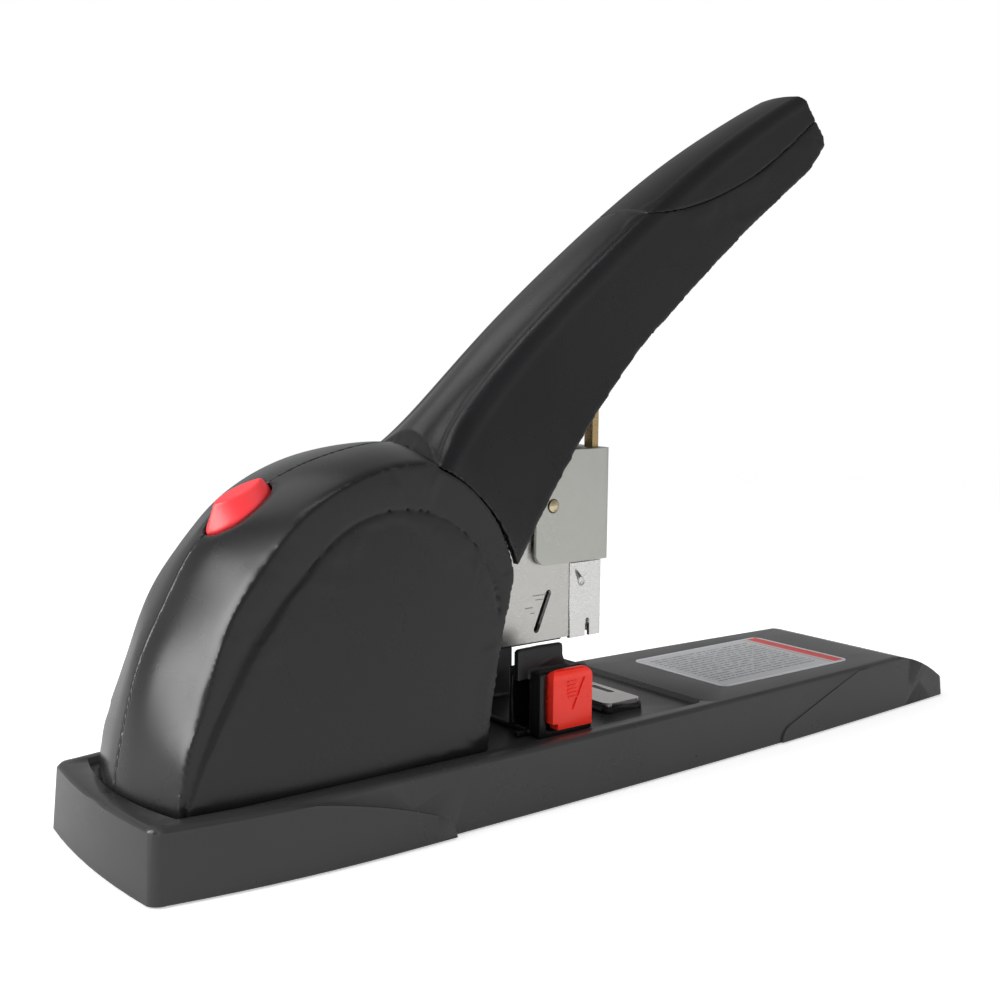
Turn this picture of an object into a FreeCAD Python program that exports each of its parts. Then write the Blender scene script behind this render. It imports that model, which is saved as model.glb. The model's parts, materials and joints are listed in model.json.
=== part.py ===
import FreeCAD, Part
import math
import os
import re
import Sketcher
from FreeCAD import Placement, Rotation, Vector

# Heavy-duty desk stapler, in millimetres.
# +X runs from the rear of the base to its nose, +Z is up, and the origin lies on the
# surface that the stapler stands on, under the middle of the base.
# Places along X are written as stations, counted from the rear end of the base.

SIZES = {
    # Base
    "overall_length": 290,
    "base_height": 17.2,
    "base_stand": 0.5,
    "base_lean": 1.3,
    "base_rear_bow": 1.8,
    "base_rear_half": 27.6,
    "base_corner_station": 5.5,
    "base_corner_half": 30.2,
    "base_wide_station": 60,
    "base_wide_half": 33.9,
    "base_nose_half": 27,
    "base_nose_corner": 3,
    "base_edge_round": 1.2,
    "base_wall": 2.4,
    "base_hollow_top": 13,
    "base_hollow_front": 258,
    "rear_swell": 1.7,
    "rear_swell_end": 78.2,
    "front_swell": 0.9,
    "front_swell_start": 201,
    "nose_slope_start": 262,
    "nose_tip_height": 5.6,
    "deck_depth": 1.6,
    "deck_half": 27.6,
    "deck_rear": 6.1,
    "deck_step_station": 171.7,
    "label_start": 187.5,
    "label_end": 246.5,
    "label_half": 20.3,
    "label_thickness": 0.3,
    "label_recess": 0.2,
    "label_corner": 3,
    "plate_thickness": 1.5,
    "plate_gap": 0.3,
    "foot_radius": 6,
    "foot_inset": 18,
    "screw_radius": 1.5,
    "screw_head_radius": 3,
    "screw_head_height": 1.4,
    "screw_length": 8,
    "boss_radius": 3.4,
    # Anvil
    "anvil_start": 143.8,
    "anvil_end": 156.8,
    "anvil_half": 16.4,
    "anvil_thickness": 1.2,
    "anvil_pad_height": 1.6,
    "anvil_pad_margin": 0.8,
    "clinch_depth": 0.6,
    "clinch_width": 2.4,
    "clinch_length": 7.5,
    # Frame and pivot
    "pivot_station": 69,
    "pivot_height": 54,
    "frame_start": 24,
    "frame_end": 95,
    "frame_inner_half": 8.7,
    "frame_thickness": 2,
    "frame_web": 1.5,
    "frame_eye": 9.5,
    "frame_flange": 8,
    "pin_radius": 3,
    "running_gap": 0.05,
    "pin_reach": 18.6,
    "ear_inner_half": 11.6,
    "ear_thickness": 1.6,
    "arm_reach_station": 147,
    "arm_reach_height": 118,
    "arm_end_radius": 7,
    "arm_web_from": 34,
    "arm_web_to": 64,
    "roller_radius": 5,
    "roller_half": 8,
    # Hood
    "hood_top_station": 83.5,
    "hood_top_height": 94,
    "hood_top_radius": 82.6,
    "hood_shoulder_radius": 33.2,
    "hood_back_radius": 118.6,
    "shoulder_front_angle": 127.8,
    "shoulder_back_angle": 146.2,
    "hood_band_half": 22,
    "hood_foot_half": 23.2,
    "hood_belly_half": 26.4,
    "hood_top_half": 21.5,
    "crown_drop_shoulder": 6.5,
    "hood_wall": 2.2,
    "seam_radius": 37.7,
    "seam_gap": 0.4,
    "seam_top_angle": 70,
    "seam_low_angle": 8.6,
    "hood_front_station": 96.1,
    "hood_front_bulge": 102.3,
    "panel_radius": 31.3,
    "panel_station": 70.6,
    "panel_height": 49.4,
    "panel_start": 12.5,
    "panel_groove": 1.5,
    "panel_sink": 0.8,
    # Handle
    "handle_root_station": 84,
    "handle_root_height": 92.4,
    "handle_mid_station": 157.5,
    "handle_mid_height": 153.6,
    "handle_end_station": 216.4,
    "handle_end_height": 189.9,
    "handle_wall": 2.3,
    "root_gap_angle": 4.5,
    "handle_turn": 36,
    "cap_start_station": 161,
    "cap_gap": 0.15,
    "cover_start_station": 157,
    "cover_thickness": 2.4,
    # Head, magazine and driver
    "head_drop": 18.2,
    "magazine_half": 8.2,
    "magazine_sheet": 1,
    "magazine_rear": 24,
    "magazine_front": 135.9,
    "magazine_floor": 37.5,
    "magazine_top": 57,
    "cheek_start": 101,
    "cheek_end": 121.4,
    "cheek_top": 80,
    "strip_drop": 0.7,
    "strip_height": 2,
    "stud_radius": 2,
    "stud_gap": 0.15,
    "stud_rear_station": 40,
    "stud_front_station": 86,
    "stud_height": 48,
    "nose_rear": 136.2,
    "nose_front": 147.9,
    "nose_half": 8.4,
    "nose_bottom": 36.9,
    "nose_top": 58.2,
    "blade_rear": 146.1,
    "blade_thickness": 0.8,
    "blade_half": 6.4,
    "sleeve_inner_half": 8.9,
    "sleeve_sheet": 1.1,
    "sleeve_rear": 122.6,
    "sleeve_bottom": 58.8,
    "sleeve_top": 90,
    "rod_radius": 1.6,
    "rod_top": 112,
    "driver_stroke": 21.5,
    "rail_half": 5.6,
    "rail_sheet": 0.9,
    "rail_rear": 30,
    "rail_floor": 40.2,
    "rail_top": 54.6,
    "staple_half": 6.5,
    "staple_wire": 0.7,
    "staple_leg": 13,
    "staple_pitch": 0.75,
    "staple_count": 48,
    # Paper guide
    "guide_rear": 113,
    "guide_front": 131,
    "guide_half": 24.2,
    "guide_inner_half": 10.8,
    "guide_top": 33,
    "guide_back": 6,
    "guide_forward": 10,
    "guide_bar": 1.8,
    "ear_rear": 105.5,
    "ear_front": 124.5,
    "ear_top": 39.5,
    "ear_half": 20,
    "ear_sheet": 1.6,
    "button_rear": 115.6,
    "button_front": 129.2,
    "button_bottom": 17.9,
    "button_top": 33.3,
    "button_stand": 1.6,
    "button_depth": 4,
    "button_travel": 2,
    # Release button in the hood
    "release_angle": 123,
    "release_length": 19.4,
    "release_half": 6.8,
    "release_stand": 2.6,
    "release_sink": 1,
    "release_tilt": 9,
    "release_depth": 7,
    "release_travel": 3,
    "release_gap": 0.3,
    # Springs
    "lift_station": 58,
    "lift_wire": 1.2,
    "lift_radius": 4.2,
    "lift_turns": 8,
    "lift_bottom": 3.4,
    "lift_cup_wall": 1.4,
    "hinge_wire": 1.1,
    "hinge_turns": 2.5,
    "hinge_coil_radius": 4.2,
    "pusher_wire": 0.7,
    "pusher_coil_radius": 3.4,
    "pusher_turns": 14,
    "release_wire": 0.7,
    "release_coil_radius": 3,
    "release_turns": 5,
    "guide_wire": 0.6,
    "guide_coil_radius": 2.4,
    "guide_turns": 4,
}

doc = FreeCAD.newDocument("HeavyDutyStapler")
sheet = doc.addObject("Spreadsheet::Sheet", "Sizes")
for row, (name, number) in enumerate(SIZES.items(), start=1):
    sheet.set("A%d" % row, name)
    sheet.set("B%d" % row, str(number))
    sheet.setAlias("B%d" % row, name)
doc.recompute()

SIZE_NAMES = re.compile(r"\b(" + "|".join(sorted(SIZES, key=len, reverse=True)) + r")\b")
NODES = []


def linked(text):
    """The same expression with every size pointing at the sheet."""
    return SIZE_NAMES.sub(r"Sizes.\1", text)


def size(text):
    """The number that an expression of sizes gives now."""
    return float(sheet.evalExpression(text))


def at(station):
    """The X of a station, which is counted from the rear end of the base."""
    return "(%s - overall_length/2)" % station


def bind(item, prop, text):
    """Set one property of an object from an expression of sizes."""
    item.setExpression(prop, linked(text))


def node(item, label):
    """Name a finished piece, which is written to a file of its own."""
    item.Label = label
    NODES.append(item)
    return item


# Sketches: a loop is a list of corners, and a via between two corners makes an arc


def corner(across, up):
    return ("corner", across, up)


def via(across, up):
    return ("via", across, up)


def ring(across, up, radius):
    return [("ring", across, up, radius)]


def polygon(*points):
    return [corner(across, up) for across, up in points]


def box(left, right, low, high):
    return polygon((left, low), (right, low), (right, high), (left, high))


def soft_box(left, right, low, high, radius):
    """A rectangle with round corners."""
    rest = "(%s)*(1 - sqrt(0.5))" % radius
    loop = []
    for side, level, turn in ((left, low, 0), (right, low, 1), (right, high, 2), (left, high, 3)):
        inward = "+" if side == left else "-"
        upward = "+" if level == low else "-"
        on_level = corner("%s %s (%s)" % (side, inward, radius), level)
        on_side = corner(side, "%s %s (%s)" % (level, upward, radius))
        middle = via("%s %s %s" % (side, inward, rest), "%s %s %s" % (level, upward, rest))
        first, last = (on_side, on_level) if turn in (0, 2) else (on_level, on_side)
        loop += [first, middle, last]
    return loop


def pin_point(sketch, item, end, across, up):
    """Hold one point of the sketch at its place."""
    for kind, text in (("DistanceX", across), ("DistanceY", up)):
        held = Sketcher.Constraint(kind, -1, 1, item, end, size(text))
        index = sketch.addConstraint(held)
        if SIZE_NAMES.search(text):
            sketch.setExpression("Constraints[%d]" % index, linked(text))


def draw_loop(sketch, loop):
    """Lines and arcs through the points of one closed loop."""
    spots = [Vector(size(across), size(up), 0) for _, across, up in loop]
    count = len(loop)
    starts = [i for i in range(count) if loop[i][0] == "corner"]
    items = []
    for i in starts:
        after = (i + 1) % count
        if loop[after][0] == "corner":
            edge = Part.LineSegment(spots[i], spots[after])
            items.append(sketch.addGeometry(edge))
            continue
        far = (i + 2) % count
        bend = (spots[after] - spots[i]).cross(spots[far] - spots[after])
        clockwise = bend.z < 0
        first, last = (spots[far], spots[i]) if clockwise else (spots[i], spots[far])
        items.append(sketch.addGeometry(Part.Arc(first, spots[after], last)))
        middle = sketch.addGeometry(Part.Point(spots[after]), True)
        pin_point(sketch, middle, 1, loop[after][1], loop[after][2])
        sketch.addConstraint(Sketcher.Constraint("PointOnObject", middle, 1, items[-1]))
        items[-1] = (items[-1], clockwise)
    ends = []
    for item in items:
        if isinstance(item, tuple):
            ends.append((item[0], 2, 1) if item[1] else (item[0], 1, 2))
        else:
            ends.append((item, 1, 2))
    for k, (item, first, last) in enumerate(ends):
        _, across, up = loop[starts[k]]
        pin_point(sketch, item, first, across, up)
        following, next_first, _ = ends[(k + 1) % len(ends)]
        sketch.addConstraint(Sketcher.Constraint("Coincident", item, last, following, next_first))


def draw(sketch, loops):
    """All loops of a sketch: an outline first, then its holes."""
    for loop in loops:
        if loop[0][0] != "ring":
            draw_loop(sketch, loop)
            continue
        _, across, up, radius = loop[0]
        circle = Part.Circle(Vector(size(across), size(up), 0), Vector(0, 0, 1), size(radius))
        item = sketch.addGeometry(circle)
        pin_point(sketch, item, 3, across, up)
        index = sketch.addConstraint(Sketcher.Constraint("Radius", item, size(radius)))
        if SIZE_NAMES.search(radius):
            sketch.setExpression("Constraints[%d]" % index, linked(radius))


# Pieces made as a body: pads and pockets that run from a level towards the plus side

PLANES = {
    "XY": ("XY_Plane", 1, Rotation()),
    "XZ": ("XZ_Plane", -1, Rotation(Vector(1, 0, 0), 90)),
    "YZ": ("YZ_Plane", 1, Rotation(Vector(0, 1, 0), Vector(0, 0, 1), Vector(1, 0, 0))),
}


def new_body(label):
    return node(doc.addObject("PartDesign::Body", label), label)


def body_sketch(body, plane, level, loops):
    role, side, _ = PLANES[plane]
    support = next(f for f in body.Origin.OriginFeatures if f.Role == role)
    sketch = body.newObject("Sketcher::SketchObject", body.Name + "_sketch")
    sketch.AttachmentSupport = [(support, "")]
    sketch.MapMode = "FlatFace"
    bind(sketch, "AttachmentOffset.Base.z", "%d*(%s)" % (side, level))
    draw(sketch, loops)
    return sketch


def pad(body, plane, level, length, loops):
    feature = body.newObject("PartDesign::Pad", body.Name + "_pad")
    feature.Profile = body_sketch(body, plane, level, loops)
    bind(feature, "Length", length)
    feature.Reversed = PLANES[plane][1] < 0
    body.Tip = feature
    return feature


def pocket(body, plane, level, length, loops):
    feature = body.newObject("PartDesign::Pocket", body.Name + "_pocket")
    feature.Profile = body_sketch(body, plane, level, loops)
    bind(feature, "Length", length)
    feature.Reversed = PLANES[plane][1] > 0
    body.Tip = feature
    return feature


def round_edges(body, chosen, radius):
    """Fillet the edges of a body's shape that the test picks out."""
    doc.recompute()
    shape = body.Tip.Shape
    names = ["Edge%d" % (i + 1) for i, edge in enumerate(shape.Edges) if chosen(edge)]
    feature = body.newObject("PartDesign::Fillet", body.Name + "_fillet")
    feature.Base = (feature.BaseFeature, names)
    bind(feature, "Radius", radius)
    body.Tip = feature
    return feature


# Pieces made by lofts and booleans


def free_sketch(name, plane, level, loops):
    """A sketch that belongs to no body."""
    sketch = doc.addObject("Sketcher::SketchObject", name)
    sketch.Placement = Placement(Vector(), PLANES[plane][2])
    axis = {"XY": "z", "XZ": "y", "YZ": "x"}[plane]
    bind(sketch, "Placement.Base." + axis, level)
    draw(sketch, loops)
    return sketch


def extrusion(name, plane, level, length, loops):
    """A solid from a level towards the plus side."""
    solid = doc.addObject("Part::Extrusion", name)
    solid.Base = free_sketch(name + "_sketch", plane, level, loops)
    solid.DirMode = "Normal"
    solid.Solid = True
    solid.Reversed = PLANES[plane][1] < 0
    bind(solid, "LengthFwd", length)
    return solid


def loft(name, sections, ruled=False):
    solid = doc.addObject("Part::Loft", name)
    solid.Sections = sections
    solid.Solid = True
    solid.Ruled = ruled
    solid.MaxDegree = 3
    return solid


def fused(name, *parts):
    solid = doc.addObject("Part::MultiFuse", name)
    solid.Shapes = list(parts)
    solid.Refine = True
    return solid


def shared(name, *parts):
    solid = doc.addObject("Part::MultiCommon", name)
    solid.Shapes = list(parts)
    return solid


def cut(name, base, tool):
    solid = doc.addObject("Part::Cut", name)
    solid.Base = base
    solid.Tool = tool
    return solid


def cylinder(name, radius, height, x, y, z, turn=Rotation()):
    solid = doc.addObject("Part::Cylinder", name)
    bind(solid, "Radius", radius)
    bind(solid, "Height", height)
    solid.Placement = Placement(Vector(), turn)
    for axis, text in (("x", x), ("y", y), ("z", z)):
        bind(solid, "Placement.Base." + axis, text)
    return solid


def group(label, parts):
    """Several separate solids that share one name."""
    solid = doc.addObject("Part::Compound", label)
    solid.Links = list(parts)
    return node(solid, label)


# Base shell: a lofted tray with swollen flanks, a sunk deck and posts for the screws


def base_outline(inset, swell):
    """Half of the base mirrored about its middle, drawn in from its widest by the inset."""
    wide = "(base_wide_half + %s - (%s))" % (swell, inset)
    rear = "(base_rear_half + %s*0.3 - (%s))" % (swell, inset)
    corner_half = "(base_corner_half + %s*0.3 - (%s))" % (swell, inset)
    nose = "(base_nose_half - (%s))" % inset
    rear_x = at("base_rear_bow + (%s)" % inset)
    corner_x = at("base_corner_station + (%s)*0.8" % inset)
    between_x = at("(base_corner_station + base_wide_station)/2")
    between = "(%s - (%s - %s)/4)" % (wide, wide, corner_half)
    front_x = at("(base_wide_station + overall_length)/2")
    front = "(%s - (%s - %s)/4)" % (wide, wide, nose)
    turn_x = at("base_rear_bow + (base_corner_station - base_rear_bow)*0.35 + (%s)*0.9" % inset)
    turn = "(%s + %s)/2 + 0.6" % (rear, corner_half)
    tip = at("overall_length - (%s)" % inset)
    tip_side = at("overall_length - base_nose_corner - (%s)" % inset)
    tip_turn = at("overall_length - base_nose_corner*(1 - sqrt(0.5)) - (%s)" % inset)
    loop = [
        corner(corner_x, "-" + corner_half),
        via(between_x, "-" + between),
        corner(at("base_wide_station"), "-" + wide),
        via(front_x, "-" + front),
        corner(tip_side, "-" + nose),
        via(tip_turn, "-(%s - base_nose_corner*(1 - sqrt(0.5)))" % nose),
        corner(tip, "-(%s - base_nose_corner)" % nose),
        corner(tip, "(%s - base_nose_corner)" % nose),
        via(tip_turn, "(%s - base_nose_corner*(1 - sqrt(0.5)))" % nose),
        corner(tip_side, nose),
        via(front_x, front),
        corner(at("base_wide_station"), wide),
        via(between_x, between),
        corner(corner_x, corner_half),
        via(turn_x, turn),
        corner(rear_x, rear),
        via(at("(%s)" % inset), "0"),
        corner(rear_x, "-" + rear),
        via(turn_x, "-(%s)" % turn),
    ]
    return loop


def tray(name, levels, swell="0"):
    """A loft through outlines at several heights, each with its own inset."""
    sections = []
    for number, (height, inset) in enumerate(levels):
        label = "%s_section_%d" % (name, number)
        sections.append(free_sketch(label, "XY", height, [base_outline(inset, swell)]))
    return loft(name, sections, ruled=True)


base_levels = [
    ("base_stand", "0"),
    ("base_height - base_edge_round", "base_lean*0.85"),
    ("base_height - base_edge_round*0.35", "base_lean*0.85 + base_edge_round*0.3"),
    ("base_height", "base_lean*0.85 + base_edge_round"),
]
base_block = tray("base_block", base_levels)
rear_flank = shared(
    "rear_flank",
    tray("rear_flank_loft", base_levels[:2] + [("base_height - 0.2", "base_lean + 0.6")], "rear_swell"),
    extrusion("rear_flank_side", "XZ", "-base_wide_half - 10", "2*base_wide_half + 20", [[
        corner(at("-5"), "base_stand"),
        corner(at("rear_swell_end"), "base_stand"),
        via(at("rear_swell_end - 1.8"), "4.4"),
        corner(at("rear_swell_end - 6.1"), "7.2"),
        via(at("55"), "12.8"),
        corner(at("34.5"), "base_height - 0.3"),
        corner(at("-5"), "base_height - 0.3"),
    ]]),
)
front_flank = shared(
    "front_flank",
    tray("front_flank_loft", base_levels[:2] + [("base_height - 0.2", "base_lean + 0.6")], "front_swell"),
    extrusion("front_flank_side", "XZ", "-base_wide_half - 10", "2*base_wide_half + 20", [[
        corner(at("front_swell_start"), "base_stand"),
        corner(at("overall_length + 3"), "base_stand"),
        corner(at("overall_length + 3"), "base_height - 0.3"),
        corner(at("front_swell_start + 42"), "base_height - 0.3"),
        via(at("front_swell_start + 21"), "10.6"),
        corner(at("front_swell_start + 4"), "5.2"),
        via(at("front_swell_start + 1.4"), "3.6"),
    ]]),
)
nose_slope = extrusion("nose_slope", "XZ", "-base_wide_half - 10", "2*base_wide_half + 20", [[
    corner(at("nose_slope_start"), "base_height"),
    via(at("nose_slope_start + 14.6"), "13"),
    corner(at("overall_length + 1"), "nose_tip_height - 1.5"),
    corner(at("overall_length + 6"), "nose_tip_height - 1.5"),
    corner(at("overall_length + 6"), "base_height + 6"),
    corner(at("nose_slope_start"), "base_height + 6"),
]])
deck_cut = extrusion("deck_cut", "XY", "base_height - deck_depth", "deck_depth + 5", [[
    corner(at("24"), "-deck_half"),
    corner(at("deck_step_station - 4"), "-deck_half"),
    via(at("deck_step_station - 4*(1 - sqrt(0.5))"), "-deck_half + 4*(1 - sqrt(0.5))"),
    corner(at("deck_step_station"), "-deck_half + 4"),
    corner(at("deck_step_station"), "deck_half - 4"),
    via(at("deck_step_station - 4*(1 - sqrt(0.5))"), "deck_half - 4*(1 - sqrt(0.5))"),
    corner(at("deck_step_station - 4"), "deck_half"),
    corner(at("24"), "deck_half"),
    corner(at("deck_rear + 4.1"), "deck_half - 1.6"),
    via(at("deck_rear"), "0"),
    corner(at("deck_rear + 4.1"), "1.6 - deck_half"),
]])
label_seat = extrusion("label_seat", "XY", "base_height - label_recess", "5", [soft_box(
    at("label_start"), at("label_end"), "-label_half", "label_half", "label_corner")])
hollow = shared(
    "base_hollow",
    tray("base_hollow_loft", [("-1", "base_wall"), ("base_hollow_top", "base_wall + base_lean")]),
    extrusion("base_hollow_reach", "XY", "-1", "base_hollow_top + 1",
              [box(at("-5"), at("base_hollow_front"), "-50", "50")]),
)
PLATE_SCREWS = [("16", "-12"), ("16", "12"), ("128", "-24"), ("128", "24"), ("250", "-20"), ("250", "20")]
FOOT_SCREWS = [("18", "-19.8"), ("18", "19.8"), ("89", "-20.5"), ("89", "20.5")]
FRAME_SCREWS = [("30", "0"), ("84", "0")]


def posts(name, plane, level, length, radius, spots):
    return extrusion(name, plane, level, length, [ring(at(x), y, radius) for x, y in spots])


plate_top = "(base_stand + 0.4 + plate_thickness)"
base_posts = posts("base_posts", "XY", plate_top, "base_hollow_top - %s" % plate_top,
                   "boss_radius", PLATE_SCREWS)
frame_posts = posts("frame_posts", "XY", "7", "base_hollow_top - 7", "boss_radius", FRAME_SCREWS)
lift_tube = extrusion("lift_tube", "XY", plate_top, "base_hollow_top - %s" % plate_top, [
    ring(at("lift_station"), "0", "lift_radius + lift_wire/2 + 0.6 + lift_cup_wall")])
lift_bore = extrusion("lift_bore", "XY", "0", "base_height + 5", [
    ring(at("lift_station"), "0", "lift_radius + lift_wire/2 + 0.6")])
plate_screw_bores = posts("plate_screw_bores", "XY", "-1", "11",
                          "screw_radius + running_gap", PLATE_SCREWS)
foot_screw_bores = posts("foot_screw_bores", "XY", "base_hollow_top - 1", "6",
                         "screw_radius + running_gap", FOOT_SCREWS)
frame_screw_bores = posts("frame_screw_bores", "XY", "8", "12",
                          "screw_radius + running_gap", FRAME_SCREWS)
guide_track = extrusion("guide_track", "XY", "base_hollow_top - 1", "6", [
    box(at("118 - guide_back - 0.4"), at("126 + guide_forward + 0.4"), "-2.5", "2.5")])
base_outer = cut("base_outer", fused("base_body", base_block, rear_flank, front_flank), nose_slope)
base_open = cut("base_open", base_outer, fused("base_sunk", deck_cut, label_seat, hollow, guide_track))
base_full = fused("base_full", base_open, base_posts, frame_posts, lift_tube)
node(cut("base_shell_solid", base_full, fused(
    "base_bores", lift_bore, plate_screw_bores, foot_screw_bores, frame_screw_bores)), "base_shell")

# Bottom plate: sheet steel inside the rim of the base, with countersunk screw holes
plate_low = "(base_stand + 0.4)"
plate_blank = shared(
    "plate_blank",
    tray("plate_loft", [(plate_low, "base_wall + plate_gap + 0.1"),
                        (plate_top, "base_wall + plate_gap + 0.1")]),
    extrusion("plate_reach", "XY", "0", "6", [box(at("0"), at("base_hollow_front - 0.4"), "-50", "50")]),
)
countersinks = []
screws = []
for number, (x, y) in enumerate(PLATE_SCREWS, start=1):
    sink = doc.addObject("Part::Cone", "countersink_%d" % number)
    head = doc.addObject("Part::Cone", "plate_screw_head_%d" % number)
    for cone, spare in ((sink, "running_gap"), (head, "0")):
        bind(cone, "Radius1", "screw_head_radius + " + spare)
        bind(cone, "Radius2", "screw_radius + " + spare)
        bind(cone, "Height", "plate_thickness")
        bind(cone, "Placement.Base.x", at(x))
        bind(cone, "Placement.Base.y", y)
        bind(cone, "Placement.Base.z", plate_low)
    shank = cylinder("plate_screw_shank_%d" % number, "screw_radius", "screw_length", at(x), y, plate_low)
    socket = cylinder("plate_screw_socket_%d" % number, "1", "0.8", at(x), y, plate_low)
    countersinks.append(sink)
    screws.append(cut("plate_screw_%d" % number, fused("plate_screw_blank_%d" % number, head, shank), socket))
node(cut("plate_bored", plate_blank, fused("all_countersinks", *countersinks)), "bottom_plate")
group("plate_screws", screws)

# Rubber feet under the bottom plate
node(posts("feet", "XY", "0", plate_low, "foot_radius",
           [("34", "-20"), ("34", "20"), ("232", "-17"), ("232", "17")]), "rubber_feet")

# Staple chart: a printed metal label in its shallow seat on the nose of the base
label_body = new_body("staple_chart_label")
pad(label_body, "XY", "base_height - label_recess", "label_thickness", [soft_box(
    at("label_start + 0.2"), at("label_end - 0.2"), "-label_half + 0.2", "label_half - 0.2",
    "label_corner - 0.2")])

# Anvil: a hardened plate with two clinching grooves, on a moulded pad
deck = "(base_height - deck_depth)"
pad_body = new_body("anvil_pad")
pad(pad_body, "XY", deck, "anvil_pad_height", [soft_box(
    at("anvil_start - anvil_pad_margin"), at("anvil_end + anvil_pad_margin"),
    "-anvil_half - anvil_pad_margin", "anvil_half + anvil_pad_margin", "2.5")])
anvil_low = "(%s + anvil_pad_height)" % deck
anvil_body = new_body("anvil_plate")
pad(anvil_body, "XY", anvil_low, "anvil_thickness", [soft_box(
    at("anvil_start"), at("anvil_end"), "-anvil_half", "anvil_half", "1.8")])
groove_floor = "%s + anvil_thickness - clinch_depth" % anvil_low
pocket(anvil_body, "XY", groove_floor, "clinch_depth", [
    soft_box(at("anvil_start + 3.2 - clinch_width/2"), at("anvil_start + 3.2 + clinch_width/2"),
             "-2", "clinch_length", "clinch_width/2.1"),
    soft_box(at("anvil_end - 2.8 - clinch_width/2"), at("anvil_end - 2.8 + clinch_width/2"),
             "-clinch_length", "2", "clinch_width/2.1")])

# Main frame: a steel channel screwed to the deck, whose two cheeks carry the hinge and guide the head
frame_outer = "(frame_inner_half + frame_thickness)"
frame_body = new_body("main_frame")
pad(frame_body, "XY", deck, "frame_web", [soft_box(
    at("frame_start"), at("frame_end"), "-" + frame_outer, frame_outer, "2")])


def eye_height(radius):
    return "pivot_height + (%s)" % radius


cheek_outline = [
    corner(at("stud_rear_station - 6"), deck),
    corner(at("stud_front_station + 6"), deck),
    corner(at("stud_front_station + 6"), "stud_height + 4"),
    corner(at("stud_front_station - 4"), "stud_height + 8"),
    corner(at("pivot_station + frame_eye"), "pivot_height"),
    via(at("pivot_station"), eye_height("frame_eye")),
    corner(at("pivot_station - frame_eye"), "pivot_height"),
    corner(at("stud_rear_station - 6"), "stud_height + 4"),
]
for side in ("-" + frame_outer, "frame_inner_half"):
    pad(frame_body, "XZ", side, "frame_thickness", [cheek_outline])
lowest = "(stud_height - head_drop)"
slot_half = "(stud_radius + stud_gap)"
guide_slots = []
for station in ("stud_rear_station", "stud_front_station"):
    guide_slots.append([
        corner(at("%s - %s" % (station, slot_half)), lowest),
        via(at(station), "%s - %s" % (lowest, slot_half)),
        corner(at("%s + %s" % (station, slot_half)), lowest),
        corner(at("%s + %s" % (station, slot_half)), "stud_height"),
        via(at(station), "stud_height + " + slot_half),
        corner(at("%s - %s" % (station, slot_half)), "stud_height"),
    ])
pocket(frame_body, "XZ", "-20", "40", guide_slots + [
    ring(at("pivot_station"), "pivot_height", "pin_radius + running_gap")])
pocket(frame_body, "XY", "0", "25", [
    ring(at("lift_station"), "0", "lift_radius + lift_wire/2 + 0.6"),
    ring(at(FRAME_SCREWS[0][0]), "0", "screw_radius + running_gap"),
    ring(at(FRAME_SCREWS[1][0]), "0", "screw_radius + running_gap")])

# Frame screws: button heads over the web of the frame
screws = []
for number, (x, y) in enumerate(FRAME_SCREWS, start=1):
    head = cylinder("frame_screw_head_%d" % number, "screw_head_radius", "screw_head_height",
                    at(x), y, deck + " + frame_web")
    shank = cylinder("frame_screw_shank_%d" % number, "screw_radius", "screw_length + 0.5",
                     at(x), y, deck + " + frame_web - screw_length")
    socket = cylinder("frame_screw_socket_%d" % number, "1", "1", at(x), y,
                      deck + " + frame_web + screw_head_height - 0.8")
    screws.append(cut("frame_screw_%d" % number, fused("frame_screw_blank_%d" % number, head, shank), socket))
group("frame_screws", screws)

# Hood screws: two groups, one driven up through the deck and one across the hood
screws = []
for number, (x, y) in enumerate(FOOT_SCREWS, start=1):
    head = cylinder("foot_screw_head_%d" % number, "screw_head_radius", "screw_head_height",
                    at(x), y, "base_hollow_top - screw_head_height")
    shank = cylinder("foot_screw_shank_%d" % number, "screw_radius", "screw_length + 1.5",
                     at(x), y, "base_hollow_top - 0.5")
    socket = cylinder("foot_screw_socket_%d" % number, "1", "0.8", at(x), y,
                      "base_hollow_top - screw_head_height")
    screws.append(cut("foot_screw_%d" % number, fused("foot_screw_blank_%d" % number, head, shank), socket))
group("hood_foot_screws", screws)


# Hood: two mirrored halves with a crowned spine, sunk side panels and a barrel under the handle

TOP_X = "hood_top_station"
TOP_Z = "(hood_top_height - hood_top_radius)"
STEP_IN = "(hood_top_radius - hood_shoulder_radius)"
SHOULDER_X = "(%s + %s*cos(shoulder_front_angle))" % (TOP_X, STEP_IN)
SHOULDER_Z = "(%s + %s*sin(shoulder_front_angle))" % (TOP_Z, STEP_IN)
STEP_OUT = "(hood_back_radius - hood_shoulder_radius)"
BACK_X = "(%s - %s*cos(shoulder_back_angle))" % (SHOULDER_X, STEP_OUT)
BACK_Z = "(%s - %s*sin(shoulder_back_angle))" % (SHOULDER_Z, STEP_OUT)


def spine(angle, inset="0"):
    """A point of the hood's middle line, drawn in by the inset, as X and Z."""
    if size(angle) <= size("shoulder_front_angle"):
        centre_x, centre_z, radius = TOP_X, TOP_Z, "hood_top_radius"
    elif size(angle) <= size("shoulder_back_angle"):
        centre_x, centre_z, radius = SHOULDER_X, SHOULDER_Z, "hood_shoulder_radius"
    else:
        centre_x, centre_z, radius = BACK_X, BACK_Z, "hood_back_radius"
    reach = "(%s - (%s))" % (radius, inset)
    x = at("%s + %s*cos(%s)" % (centre_x, reach, angle))
    return x, "%s + %s*sin(%s)" % (centre_z, reach, angle)


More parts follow.
